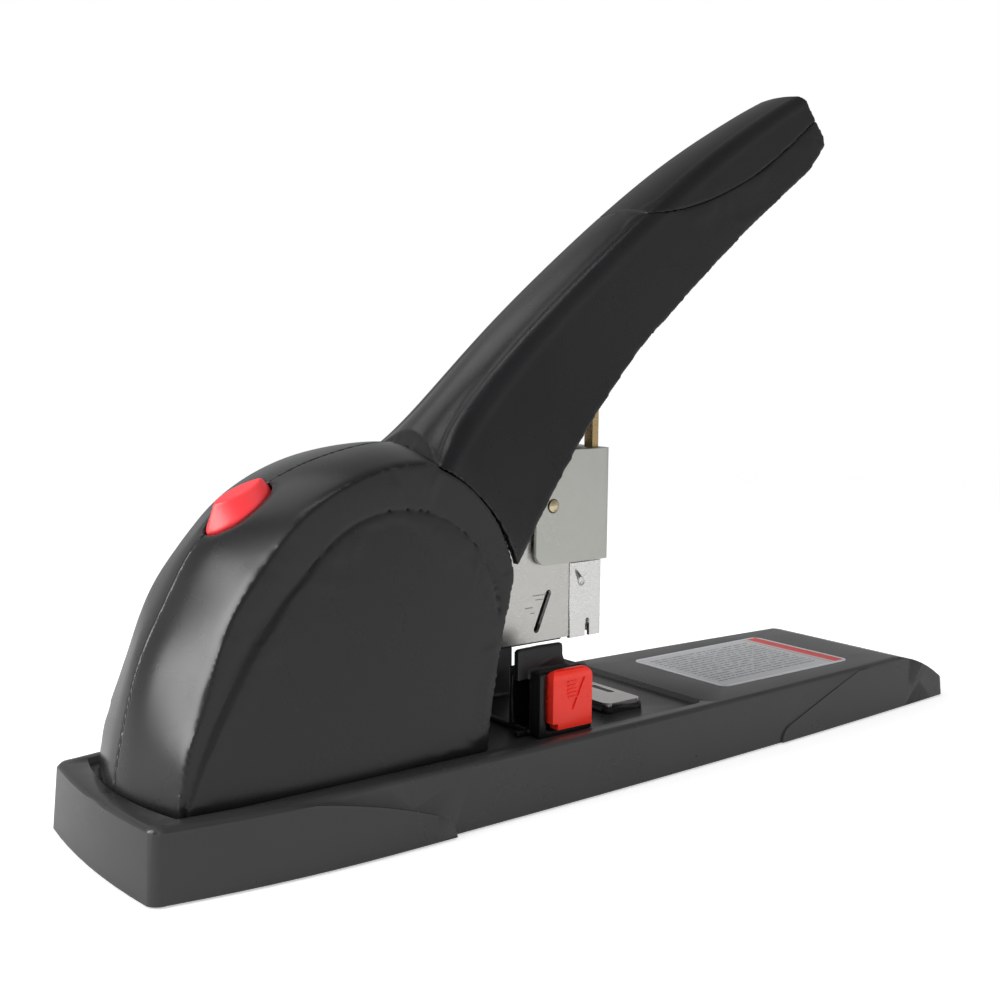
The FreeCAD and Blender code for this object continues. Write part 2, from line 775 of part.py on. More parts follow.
def spine_plane(name, angle, loops):
    """A sketch square to the middle line: across is Y, up points out of the hood."""
    turn = math.radians(size(angle))
    out = Vector(math.cos(turn), 0, math.sin(turn))
    across = Vector(0, 1, 0)
    sketch = doc.addObject("Sketcher::SketchObject", name)
    sketch.Placement = Placement(Vector(), Rotation(across, out, across.cross(out)))
    x, z = spine(angle)
    bind(sketch, "Placement.Base.x", x)
    bind(sketch, "Placement.Base.z", z)
    draw(sketch, loops)
    return sketch


# How deep the crown falls from the spine to its crease, as a share of its deepest fall
CROWN_FALL = [
    ("177", 0.62), ("171", 0.82), ("163.5", 0.93), ("155", 0.95), ("shoulder_back_angle", 0.98),
    ("137", 1.0), ("shoulder_front_angle", 0.92), ("122", 0.69), ("116", 0.54), ("108", 0.45),
    ("100", 0.44), ("92", 0.58), ("80", 0.72),
]


def crown_loft(name, lift, half):
    """The hood's crowned spine, raised by the lift, as a band that is as wide as two halves."""
    sections = []
    depth = "16"
    for number, (angle, share) in enumerate(CROWN_FALL):
        fall = "(crown_drop_shoulder*%s)" % share
        ridge = "(%s*0.12 + (%s - 3.2)*0.15)" % (fall, fall)
        swell = "(0.35 - 0.045*(%s - 3.1))" % fall
        reach = "((%s - 8)/(hood_band_half - 8))" % half
        edge = "(%s + (%s - %s)*%s)" % (ridge, fall, ridge, reach)
        halfway = "(%s)/2" % "%s + %s" % (ridge, edge)
        shoulder = "%s - (%s)/2 + %s*%s" % (lift, "%s + %s" % (ridge, edge), swell, reach)
        loop = [
            corner("-" + half, "-" + depth),
            corner(half, "-" + depth),
            corner(half, "%s - %s" % (lift, edge)),
            via("(8 + %s)/2" % half, shoulder),
            corner("8", "%s - %s" % (lift, ridge)),
            via("0", lift),
            corner("-8", "%s - %s" % (lift, ridge)),
            via("-(8 + %s)/2" % half, shoulder),
            corner("-" + half, "%s - %s" % (lift, edge)),
        ]
        sections.append(spine_plane("%s_section_%d" % (name, number), angle, [loop]))
    return loft(name, sections)


def core(name, half, inset):
    """The middle of the hood below its crown, seen from the side."""
    points = [corner(at("130"), "4")]
    points.append(corner(at("130"), "70"))
    points.append(corner(*spine("80", inset)))
    points.append(via(*spine("(80 + shoulder_front_angle)/2", inset)))
    points.append(corner(*spine("shoulder_front_angle", inset)))
    points.append(via(*spine("(shoulder_front_angle + shoulder_back_angle)/2", inset)))
    points.append(corner(*spine("shoulder_back_angle", inset)))
    points.append(via(*spine("(shoulder_back_angle + 177)/2", inset)))
    points.append(corner(*spine("177", inset)))
    points.append(corner(spine("177", inset)[0], "4"))
    return extrusion(name, "XZ", "-" + half, "2*" + half, [points])


def round_pivot(radius, angle):
    """A point on a circle about the hinge."""
    return at("pivot_station + (%s)*cos(%s)" % (radius, angle)), "pivot_height + (%s)*sin(%s)" % (radius, angle)


hood_seam = "seam_radius - seam_gap/2"
side_trim = extrusion("hood_side", "XZ", "-60", "120", [[
    corner(at("-10"), deck),
    corner(at("hood_front_station"), deck),
    via(at("hood_front_bulge"), "45"),
    corner(*round_pivot(hood_seam, "seam_low_angle")),
    via(*round_pivot(hood_seam, "(seam_low_angle + seam_top_angle)/2")),
    corner(*round_pivot(hood_seam, "seam_top_angle")),
    corner(*round_pivot("64", "seam_top_angle")),
    corner(at("40"), "140"),
    corner(at("-10"), "140"),
]])


def arch(name, inset, half, beyond):
    """The side panel's outline, open at the foot and at the front edge."""
    drop = "(panel_radius - (%s))" % inset
    start = "panel_start + (%s)" % inset
    return extrusion(name, "XZ", "-" + half, "2*" + half, [[
        corner(at(start), "4 - (%s)" % beyond),
        corner(at("130 + (%s)" % beyond), "4 - (%s)" % beyond),
        corner(at("130 + (%s)" % beyond), "panel_height + 1.6"),
        corner(at("panel_station + %s*cos(3)" % drop), "panel_height + %s*sin(3)" % drop),
        via(at("panel_station + %s*cos(64)" % drop), "panel_height + %s*sin(64)" % drop),
        corner(at("panel_station + %s*cos(125)" % drop), "panel_height + %s*sin(125)" % drop),
        via(at("28.4 + (%s)*0.85" % inset), "48.9 - (%s)*0.5" % inset),
        corner(at(start), "17.2"),
    ]])


def panel_loft(name, inset):
    """The barrelled side walls, leaning in towards the top."""
    sections = []
    for number, (height, belly, ends) in enumerate([
        ("8", "hood_belly_half + 0.5", "hood_foot_half - 0.5"),
        ("84", "hood_top_half", "hood_top_half - 0.4"),
    ]):
        wide = "(%s - (%s))" % (belly, inset)
        narrow = "(%s - (%s))" % (ends, inset)
        sections.append(free_sketch("%s_section_%d" % (name, number), "XY", height, [[
            corner(at("3"), "-" + narrow),
            via(at("55"), "-" + wide),
            corner(at("107"), "-" + narrow),
            corner(at("107"), narrow),
            via(at("55"), wide),
            corner(at("3"), narrow),
        ]]))
    return loft(name, sections, ruled=True)


def spine_band(name, lift, half):
    """The hood without its panels, between two side planes that spread towards the foot."""
    mass = fused(name + "_mass", crown_loft(name + "_crown", lift, "(%s + 3)" % half),
                 core(name + "_core", "(%s + 2)" % half, "12"))
    levels = [("-20", "1.4"), (deck, "1.4"), ("58", "0.2"), ("90", "-0.1"), ("150", "-0.1")]
    edge = [corner("%s + %s" % (half, spread), level) for level, spread in levels]
    edge += [corner("-(%s + %s)" % (half, spread), level) for level, spread in reversed(levels)]
    slab = extrusion(name + "_slab", "YZ", at("-20"), "180", [edge])
    return shared(name, mass, slab)


band = spine_band("hood_band", "0", "hood_band_half")
panel = fused(
    "hood_panel",
    shared("panel_face", panel_loft("panel_outer", "0"), arch("arch_panel", "panel_groove", "60", "-2")),
    shared("panel_floor", panel_loft("panel_sunk", "panel_sink"), arch("arch_groove", "0", "60", "-2.6")),
)
hood_block = shared("hood_block", side_trim, fused(
    "hood_mass", cut("band_open", band, arch("arch_cut", "0.5", "61", "5")), panel))

inner_half = "(hood_top_half - hood_wall)"
cavity_side = extrusion("hood_cavity_side", "XZ", "-61", "122", [[
    corner(at("-10"), "4"),
    corner(at("125"), "4"),
    corner(at("125"), "pivot_height + 7.4"),
    corner(at("pivot_station + 34.4"), "pivot_height + 7.4"),
    via(*round_pivot("seam_radius - hood_wall - 0.2", "43")),
    corner(*round_pivot("seam_radius - hood_wall - 0.2", "76")),
    corner(*round_pivot("66", "76")),
    corner(at("-10"), "140"),
]])
cavity_mass = fused(
    "cavity_mass",
    spine_band("cavity_band", "-hood_wall", inner_half),
    shared("panel_hollow", panel_loft("panel_inner", "hood_wall"), arch("arch_hollow", "2.4", "60", "-3")),
)
cavity = shared("hood_cavity", cavity_mass, cavity_side)

CROSS_SCREWS = [("17.5", "29"), ("58", "82")]
hood_posts = shared("hood_posts", hood_block, fused(
    "hood_post_blanks",
    posts("foot_posts", "XY", deck, "9", "boss_radius", FOOT_SCREWS),
    extrusion("cross_posts", "XZ", "-30", "60", [ring(at(x), z, "boss_radius") for x, z in CROSS_SCREWS]),
))
foot_bores = posts("foot_post_bores", "XY", deck + " - 1", "8", "screw_radius + running_gap", FOOT_SCREWS)
cross_bores = extrusion("cross_bores", "XZ", "-14", "50",
                        [ring(at(x), z, "screw_radius + running_gap") for x, z in CROSS_SCREWS])
cross_sinks = extrusion("cross_sinks", "XZ", "hood_band_half - 3.6", "20",
                        [ring(at(x), z, "screw_head_radius + 0.2") for x, z in CROSS_SCREWS])
lever_slot = [
    corner(*round_pivot("30", "2")),
    corner(*round_pivot("46", "2")),
    via(*round_pivot("46", "30")),
    corner(*round_pivot("46", "56")),
    corner(*round_pivot("30", "56")),
    via(*round_pivot("30", "30")),
]
slot_reach = "ear_thickness + 0.8"
lever_slots = fused(
    "lever_slots",
    extrusion("lever_slot_left", "XZ", "ear_inner_half - 0.4", slot_reach, [lever_slot]),
    extrusion("lever_slot_right", "XZ", "-ear_inner_half + 0.4 - (%s)" % slot_reach, slot_reach, [lever_slot]),
)


def release_extrusion(name, depth, length, loops):
    """A solid square to the crown under the release button, from a depth below the crown inward."""
    turn = math.radians(size("release_angle"))
    inward = Vector(-math.cos(turn), 0, -math.sin(turn))
    across = Vector(0, 1, 0)
    sketch = doc.addObject("Sketcher::SketchObject", name + "_sketch")
    sketch.Placement = Placement(Vector(), Rotation(across, inward.cross(across), inward))
    x, z = spine("release_angle", depth)
    bind(sketch, "Placement.Base.x", x)
    bind(sketch, "Placement.Base.z", z)
    draw(sketch, loops)
    solid = doc.addObject("Part::Extrusion", name)
    solid.Base = sketch
    solid.DirMode = "Normal"
    solid.Solid = True
    bind(solid, "LengthFwd", length)
    return solid


def leaf(spare):
    """The outline of the release button: two arcs that meet in points."""
    tall = "(release_length/2 + (%s)*1.6)" % spare
    wide = "(release_half + (%s))" % spare
    return [corner("0", "-" + tall), via(wide, "0"), corner("0", tall), via("-" + wide, "0")]


release_hole = release_extrusion("release_hole", "-12", "26", [leaf("release_gap")])
shelf_depth = "19"
release_shelf = shared("release_shelf", hood_block, release_extrusion(
    "release_shelf_blank", shelf_depth, "2", [
        box("-30", "30", "-5.5", "5.5"), ring("0", "0", "2.3")]))
hood_hollowed = cut("hood_hollowed", hood_block, fused("hood_voids", cavity, lever_slots, release_hole))
hood_built = fused("hood_built", hood_hollowed, hood_posts, release_shelf)
hood_bored = cut("hood_bored", hood_built, fused("hood_bores", foot_bores, cross_bores, cross_sinks))
for label, level in (("hood_right", "-80"), ("hood_left", "0")):
    half_space = extrusion(label + "_side", "XZ", level, "80", [box(at("-20"), at("140"), "0", "140")])
    node(shared(label + "_solid", hood_bored, half_space), label)

screws = []
for number, (x, z) in enumerate(CROSS_SCREWS, start=1):
    upright = Rotation(Vector(1, 0, 0), 90)
    head = cylinder("cross_screw_head_%d" % number, "screw_head_radius", "screw_head_height",
                    at(x), "hood_band_half - 3.6 + screw_head_height", z, upright)
    shank = cylinder("cross_screw_shank_%d" % number, "screw_radius", "30",
                     at(x), "hood_band_half - 3", z, upright)
    socket = cylinder("cross_screw_socket_%d" % number, "1", "2",
                      at(x), "hood_band_half - 3.6 + screw_head_height + 1.2", z, upright)
    screws.append(cut("cross_screw_%d" % number, fused("cross_screw_blank_%d" % number, head, shank), socket))
group("hood_cross_screws", screws)

# Release button: a red leaf with a raised, tilted facet, on a flange and a stem
button_leaf = release_extrusion("release_leaf", "release_sink", "release_depth - release_sink - 1", [leaf("0")])
facet_turn = math.radians(size("release_angle - release_tilt"))
facet_inward = Vector(-math.cos(facet_turn), 0, -math.sin(facet_turn))
facet_across = Vector(0, 1, 0)
facet = doc.addObject("Sketcher::SketchObject", "release_facet")
facet.Placement = Placement(Vector(), Rotation(facet_across, facet_inward.cross(facet_across), facet_inward))
facet_x, facet_z = spine("release_angle")
ahead = "0.127*release_length"
bind(facet, "Placement.Base.x",
     "%s + %s*sin(release_angle) + release_stand*cos(release_angle)" % (facet_x, ahead))
bind(facet, "Placement.Base.z",
     "%s - %s*cos(release_angle) + release_stand*sin(release_angle)" % (facet_z, ahead))
facet_long = "0.357*release_length"
facet_wide = "0.515*release_half"
draw(facet, [[corner("0", "-" + facet_long), via(facet_wide, "0"), corner("0", facet_long),
              via("-" + facet_wide, "0")]])
button_rise = loft("release_rise", [button_leaf.Base, facet], ruled=True)
button_flange = release_extrusion("release_flange", "release_depth - 1.8", "1.8", [leaf("1")])
button_stem = release_extrusion("release_stem", "release_depth - 1", "28.2 - release_depth", [ring("0", "0", "2")])
node(fused("release_button_solid", button_leaf, button_rise, button_flange, button_stem), "release_button")


# Handle: lofted sections square to its slope, cut to its side view, hollow underneath

SLOPE = 42
# Where each section stands: the stretch of the ridge, its share of the way along and a lift
# above the straight line; then half width at the shoulder, corner radius, fall of the crown,
# half width at the lower edge and depth of the section
LOW = ("handle_root", "handle_mid")
HIGH = ("handle_mid", "handle_end")
HANDLE_SECTIONS = [
    (LOW, -0.0816, -0.5, 22.6, 3.8, 3.2, 23.4, 38.0),
    (LOW, 0.0, 0.0, 19.6, 4.6, 2.8, 23.2, 36.0),
    (LOW, 0.102, 0.66, 15.8, 5.6, 2.2, 22.7, 34.0),
    (LOW, 0.2041, 1.01, 14.3, 5.8, 1.5, 22.1, 32.2),
    (LOW, 0.3129, 1.35, 13.7, 5.5, 1.1, 21.2, 30.5),
    (LOW, 0.5293, 1.81, 13.3, 5.1, 0.8, 19.3, 28.0),
    (LOW, 0.7565, 1.3, 13.15, 5.0, 0.7, 17.7, 26.5),
    (LOW, 1.0, 0.0, 12.9, 4.9, 0.7, 16.7, 25.5),
    (HIGH, 0.3124, 1.56, 12.35, 4.7, 0.6, 15.8, 25.0),
    (HIGH, 0.6537, 1.57, 11.5, 4.5, 0.55, 15.1, 23.0),
    (HIGH, 1.0, 0.0, 10.4, 4.2, 0.5, 14.4, 21.0),
    (HIGH, 1.2649, -2.6, 9.6, 3.9, 0.5, 14.0, 19.5),
    (HIGH, 1.5026, -5.34, 8.9, 3.6, 0.5, 13.6, 18.0),
]


def ridge_place(stretch, share, lift):
    """Station and height of the ridge at a share of one stretch."""
    place = []
    for kind, extra in (("station", 0), ("height", lift)):
        first, last = ["%s_%s" % (end, kind) for end in stretch]
        place.append("(%s + %s*(%s - %s) + (%s))" % (first, share, last, first, extra))
    return place


def beside(end, ahead, above):
    """A point of the side view, counted from one end of the ridge's stretches."""
    return at("handle_%s_station + (%s)" % (end, ahead)), "handle_%s_height + (%s)" % (end, above)


def amid(stretch, ahead, above):
    """A point of the side view, counted from the middle of one stretch."""
    station, height = ["(%s_%s + %s_%s)/2" % (stretch[0], kind, stretch[1], kind)
                       for kind in ("station", "height")]
    return at("%s + (%s)" % (station, ahead)), "%s + (%s)" % (height, above)


def handle_plane(name, station, height, loops):
    """A sketch square to the handle's slope: across is Y, up points out of its crown."""
    turn = math.radians(SLOPE)
    out = Vector(-math.sin(turn), 0, math.cos(turn))
    across = Vector(0, 1, 0)
    sketch = doc.addObject("Sketcher::SketchObject", name)
    sketch.Placement = Placement(Vector(), Rotation(across, out, across.cross(out)))
    bind(sketch, "Placement.Base.x", at(station))
    bind(sketch, "Placement.Base.z", height)
    draw(sketch, loops)
    return sketch


def handle_loft(name, inset, spare_depth):
    """The handle's outside, or the inside of its wall when an inset is given."""
    sections = []
    for number, (stretch, share, lift, half, turn, fall, foot, depth) in enumerate(HANDLE_SECTIONS):
        station, height = ridge_place(stretch, share, lift)
        wide = "(%s - (%s))" % (half, inset)
        bend = "(%s - 0.7*(%s))" % (turn, inset)
        top = "(0 - (%s))" % inset
        flat = "(%s - %s)" % (wide, bend)
        rest = "(1 - sqrt(0.5))*%s" % bend
        low = "%s - %s" % (top, fall)
        base = "(%s - (%s))" % (foot, inset)
        deep = "-(%s + %s)" % (depth, spare_depth)
        loop = [
            corner("-" + flat, low),
            via("0", top),
            corner(flat, low),
            via("%s - %s" % (wide, rest), "%s - %s" % (low, rest)),
            corner(wide, "%s - %s" % (low, bend)),
            corner(base, deep),
            corner("-" + base, deep),
            corner("-" + wide, "%s - %s" % (low, bend)),
            via("-(%s - %s)" % (wide, rest), "%s - %s" % (low, rest)),
        ]
        sections.append(handle_plane("%s_section_%d" % (name, number), station, height, [loop]))
    return loft(name, sections)


def side_cut(name, loop):
    """A prism through the whole width of the handle."""
    return extrusion(name, "XZ", "-62", "124", [loop])


handle_seam = "seam_radius + seam_gap/2"
top_start = "seam_top_angle - root_gap_angle"
handle_side = side_cut("handle_side", [
    corner(*round_pivot("20", top_start)),
    corner(*round_pivot("62", top_start)),
    corner(*beside("mid", -7.5, 61.4)),
    corner(*beside("end", -0.4, 25.1)),
    corner(*beside("end", 4.1, 3.3)),
    via(*beside("end", 9.2, 4)),
    corner(*beside("end", 11.8, 0.5)),
    corner(*beside("end", 15.5, -7.3)),
    via(*beside("end", 16, -9.6)),
    corner(*beside("end", 14.2, -12.7)),
    via(*beside("end", 10.2, -16.8)),
    corner(*beside("end", 5.5, -20.8)),
    via(*amid(HIGH, 5.15, -23.35)),
    corner(*beside("mid", 3.7, -29.2)),
    corner(*beside("mid", -1.5, -33.2)),
    via(*amid(LOW, 9.55, -28.1)),
    corner(*beside("root", 22.6, -29)),
    corner(*round_pivot("34", "seam_low_angle + 1")),
])
seam_disc = extrusion("seam_disc", "XZ", "-63", "126", [
    ring(at("pivot_station"), "pivot_height", handle_seam)])
handle_block = cut("handle_block", shared("handle_mass", handle_loft("handle_outer", "0", "0"), handle_side),
                   seam_disc)
handle_inside = shared("handle_inside", handle_loft("handle_inner", "handle_wall", "6"), side_cut(
    "handle_inside_side", [
        corner(at("60"), "30"),
        corner(beside("end", 10.1, 0)[0], "30"),
        corner(*beside("end", 10.1, -13.3)),
        corner(*beside("end", 13, -9.3)),
        corner(*beside("end", 12.8, -7.5)),
        corner(*beside("end", 9.6, -0.5)),
        corner(*beside("end", 3.1, 15.1)),
        corner(at("60"), beside("end", 0, 15.1)[1]),
    ]))
handle_hollowed = cut("handle_hollowed", handle_block, handle_inside)


def along_normal(name, radius, height, station, level, y, depth):
    """A cylinder square to the slope that starts at a depth below a point of the ridge."""
    turn = math.radians(SLOPE)
    away = Rotation(Vector(0, 1, 0), -SLOPE)
    x = "%s + (%s)*%.6f" % (at(station), depth, math.sin(turn))
    z = "%s - (%s)*%.6f" % (level, depth, math.cos(turn))
    return cylinder(name, radius, height, x, y, z, away)


# Station and height of the ridge over each post, and the depth of the cover's inner face there
GRIP_POSTS = [
    ("handle_mid_station + 24.5", "handle_mid_height + 16.8", "20.8"),
    ("handle_end_station - 11.4", "handle_end_height - 6", "18.9"),
]
grip_region = [
    corner(at("cap_start_station"), "handle_end_height + 30"),
    corner(at("cap_start_station"), "handle_mid_height + 1"),
    via(*beside("mid", 13.6, 2.6)),
    corner(*beside("mid", 24.5, 5.6)),
    via(*amid(HIGH, 6.65, -7.85)),
    corner(*beside("end", -10.4, -19.7)),
    corner(*beside("end", 0.8, -12.5)),
    corner(*beside("end", 33.6, 10.5)),
    corner(*beside("end", 33.6, 30)),
]
grip_side = side_cut("grip_side", grip_region)
over_cover = side_cut("over_cover", [
    corner(*beside("mid", 0.23, -27.6)),
    via(*amid(HIGH, 3.68, -20.45)),
    corner(*beside("end", 3.73, -18.2)),
    corner(*beside("end", 3.73, 30)),
    corner(*beside("mid", 0.23, 30)),
])
grip_posts = shared("grip_posts", handle_block, over_cover, fused("grip_post_blanks", *[
    along_normal("grip_post_%d" % n, "3.2", "24", x, z, "0", deep + " + 1")
    for n, (x, z, deep) in enumerate(GRIP_POSTS, start=1)]))
grip_bores = fused("grip_bores", *[
    along_normal("grip_bore_%d" % n, "screw_radius + running_gap", "11.5", x, z, "0", deep + " + 2")
    for n, (x, z, deep) in enumerate(GRIP_POSTS, start=1)])
cap_skin = shared("cap_skin", handle_hollowed, grip_side)
node(cut("grip_cap_solid", fused("grip_cap_blank", cap_skin, grip_posts), grip_bores), "handle_grip_cap")

LEVER_SCREWS = [("142.6", "-8.8"), ("142.6", "8.8")]
lever_posts = shared("lever_posts", handle_block, posts("lever_post_blanks", "XY", "116.6", "40", "2.6", LEVER_SCREWS))
lever_bores = posts("lever_bores", "XY", "100", "26", "screw_radius + running_gap", LEVER_SCREWS)
shell_open = cut("shell_open", handle_hollowed, grip_side)
node(cut("handle_shell_solid", fused("handle_shell_blank", shell_open, lever_posts), lever_bores), "handle_shell")

# Underside cover of the grip
cover_blank = shared("cover_blank", handle_loft("cover_loft", "handle_wall + cap_gap", "6"), side_cut(
    "cover_side", [
        corner(*beside("mid", 1.7, -29.7)),
        via(*amid(HIGH, 5.15, -22.55)),
        corner(*beside("end", 5.2, -20.3)),
        corner(*beside("end", 9.8, -16)),
        corner(*beside("end", 9.2, -13.5)),
        corner(*beside("end", 3.8, -18.3)),
        via(*amid(HIGH, 3.75, -20.55)),
        corner(*beside("mid", 0.3, -27.7)),
    ]))
cover_sinks = fused("cover_sinks", *[
    along_normal("cover_sink_%d" % n, "screw_head_radius + 0.2", "4", x, z, "0", deep + " + 5.4")
    for n, (x, z, deep) in enumerate(GRIP_POSTS, start=1)])
node(cut("cover_solid", cover_blank, fused("cover_holes", cover_sinks, grip_bores)), "handle_underside_cover")
screws = []
for n, (x, z, deep) in enumerate(GRIP_POSTS, start=1):
    head = along_normal("grip_screw_head_%d" % n, "screw_head_radius", "screw_head_height", x, z, "0",
                        deep + " + 1.4 + screw_head_height")
    shank = along_normal("grip_screw_shank_%d" % n, "screw_radius", "screw_length", x, z, "0", deep + " + 1.5")
    socket = along_normal("grip_screw_socket_%d" % n, "1", "0.9", x, z, "0", deep + " + 1.4 + screw_head_height")
    screws.append(cut("grip_screw_%d" % n, fused("grip_screw_blank_%d" % n, head, shank), socket))
group("grip_screws", screws)

# Handle lever: a folded steel arm on the hinge, with the curved plate that presses the driver
lever = new_body("handle_lever")
lever_outer = "(ear_inner_half + ear_thickness)"
arm_outline = [
    corner(at("75.4"), "48"),
    corner(at("112"), "79.5"),
    corner(at("127"), "96"),
    corner(at("148.4"), "114"),
    corner(at("148.4"), "118.4"),
    corner(at("140"), "117.6"),
    corner(at("127"), "108.6"),
    corner(at("91"), "81.6"),
    corner(at("63.4"), "60.2"),
    via(at("61.6"), "49.6"),
]
for side in ("-" + lever_outer, "ear_inner_half"):
    pad(lever, "XZ", side, "ear_thickness", [arm_outline])
pad(lever, "XZ", "-%s" % lever_outer, "2*%s" % lever_outer, [[
    corner(at("118.8"), "115.1"),
    via(at("135"), "114.6"),
    corner(at("148.4"), "112.3"),
    corner(at("148.4"), "114"),
    via(at("135"), "116.2"),
    corner(at("118.6"), "116.7"),
]])
for side in ("-20", "7.6"):
    pocket(lever, "XY", "112", "8", [box(at("115"), at("137.6"), side, "%s + 12.4" % side)])
pocket(lever, "XY", "108", "14", [ring(at(x), y, "screw_radius + running_gap") for x, y in LEVER_SCREWS])
pocket(lever, "XZ", "-20", "40", [ring(at("pivot_station"), "pivot_height", "pin_radius + running_gap")])
screws = []
for n, (x, y) in enumerate(LEVER_SCREWS, start=1):
    head = cylinder("lever_screw_head_%d" % n, "2.1", "screw_head_height", at(x), y, "112.9 - screw_head_height")
    shank = cylinder("lever_screw_shank_%d" % n, "screw_radius", "11", at(x), y, "112.5")
    socket = cylinder("lever_screw_socket_%d" % n, "1", "0.8", at(x), y, "112.9 - screw_head_height")
    screws.append(cut("lever_screw_%d" % n, fused("lever_screw_blank_%d" % n, head, shank), socket))
group("lever_screws", screws)

# Hinge pins, one on each side of the head, with their retaining rings
pins = []
rings = []
for n, side in enumerate((-1, 1), start=1):
    away = Rotation(Vector(1, 0, 0), 90 if side < 0 else -90)
    pins.append(cylinder("hinge_pin_blank_%d" % n, "pin_radius", "pin_reach - frame_inner_half",
                         at("pivot_station"), "%d*frame_inner_half" % side, "pivot_height", away))
    outer_ring = cylinder("ring_blank_%d" % n, "pin_radius + 1.6", "0.8", at("pivot_station"),
                          "%d*(%s + 0.15)" % (side, lever_outer), "pivot_height", away)
    inner_ring = cylinder("ring_hole_%d" % n, "pin_radius + running_gap", "0.8", at("pivot_station"),
                          "%d*(%s + 0.15)" % (side, lever_outer), "pivot_height", away)
    mouth = extrusion("ring_mouth_%d" % n, "XZ", "-25", "50",
                      [box(at("pivot_station - 8"), at("pivot_station - 1.5"), "pivot_height - 2", "pivot_height + 2")])
    rings.append(cut("ring_%d" % n, cut("ring_open_%d" % n, outer_ring, inner_ring), mouth))
group("handle_hinge_pins", pins)
group("retaining_rings", rings)


# Magazine: the sheet steel channel that the head is built on, with its liner and guide studs
magazine = new_body("magazine_channel")
cheek_inner = "(magazine_half - magazine_sheet)"
magazine_side = [
    corner(at("magazine_rear"), "magazine_floor"),
    corner(at("magazine_front"), "magazine_floor"),
    corner(at("magazine_front"), "cheek_top"),
    corner(at("cheek_start + 8"), "cheek_top"),
    corner(at("cheek_start + 6.2"), "magazine_top + 3.9"),
    corner(at("cheek_start - 6"), "magazine_top"),
    corner(at("magazine_rear"), "magazine_top"),
]
for side in ("-magazine_half", cheek_inner):
    pad(magazine, "XZ", side, "magazine_sheet", [magazine_side])
web_low = "(magazine_floor + 1.3)"
pad(magazine, "XY", web_low, "magazine_sheet", [
    box(at("magazine_rear"), at("magazine_front - 1"), "-magazine_half", "magazine_half")])
pocket(magazine, "XZ", "-20", "40", [
    [
        corner(at("123.5"), "41.1"),
        corner(at("127.7"), "51"),
        via(at("128.9"), "51.5"),
        corner(at("129.5"), "50.4"),
        corner(at("125.3"), "40.5"),
        via(at("124.1"), "40"),
    ],
    ring(at("stud_rear_station"), "stud_height", "stud_radius + running_gap"),
    ring(at("stud_front_station"), "stud_height", "stud_radius + running_gap"),
    ring(at("42"), "55.3", "1.25"),
])
liner = new_body("magazine_liner")
pad(liner, "XY", "magazine_floor - strip_drop", "strip_height", [soft_box(
    at("magazine_rear + 2"), at("magazine_front - 0.6"), "-%s + 0.1" % cheek_inner, "%s - 0.1" % cheek_inner, "2")])
studs = []
for n, (station, side) in enumerate([(s, d) for s in ("stud_rear_station", "stud_front_station")
                                     for d in (-1, 1)], start=1):
    away = Rotation(Vector(1, 0, 0), 90 if side < 0 else -90)
    studs.append(cylinder("guide_stud_%d" % n, "stud_radius", "4.1", at(station),
                          "%d*%s" % (side, cheek_inner), "stud_height", away))
group("head_guide_studs", studs)

# Magazine latch: a rocker at the rear that hooks the staple rail until the red button tips it
latch = new_body("magazine_latch")
pad(latch, "XZ", "-4.4", "8.8", [[
    corner(at("31.7"), "50.3"),
    corner(at("33"), "51.4"),
    corner(at("33"), "54.2"),
    corner(at("40"), "54.2"),
    via(at("42"), "53.3"),
    corner(at("44"), "54.2"),
    corner(at("53"), "54.2"),
    corner(at("53"), "55.4"),
    corner(at("44"), "56"),
    via(at("42"), "57.2"),
    corner(at("40"), "56"),
    corner(at("31.7"), "56"),
]])
pocket(latch, "XZ", "-20", "40", [ring(at("42"), "55.3", "1.25")])
pocket(latch, "YZ", at("31"), "2.6", [box("-2.9", "2.9", "49", "53")])
latch_pin = cylinder("latch_pin_solid", "1.2", "2*magazine_half", at("42"), "magazine_half", "55.3",
                     Rotation(Vector(1, 0, 0), 90))
node(latch_pin, "latch_pin")

# Drawer: nose piece, staple rail, guide rod, staples, pusher
nose_inner = "(nose_half - magazine_sheet)"
nose = new_body("nose_piece")
pad(nose, "XY", "nose_bottom", "nose_top - nose_bottom", [soft_box(
    at("nose_rear"), at("nose_front"), "-nose_half", "nose_half", "0.7")])
pocket(nose, "XY", "nose_bottom - 1", "nose_top - nose_bottom + 2", [[
    corner(at("nose_rear - 1"), "-" + nose_inner),
    corner(at("blade_rear + blade_thickness + 0.05"), "-" + nose_inner),
    corner(at("blade_rear + blade_thickness + 0.05"), nose_inner),
    corner(at("nose_rear - 1"), nose_inner),
]])
pocket(nose, "XZ", "-20", "40", [[
    corner(at("142"), "nose_bottom - 1"),
    corner(at("143.6"), "nose_bottom - 1"),
    corner(at("143.6"), "41.2"),
    via(at("142.8"), "42"),
    corner(at("142"), "41.2"),
]])
for level in ("-nose_half", "nose_half - 0.4"):
    pocket(nose, "XZ", level, "0.4", [ring(at("140.4"), "52.7", "1.25")])

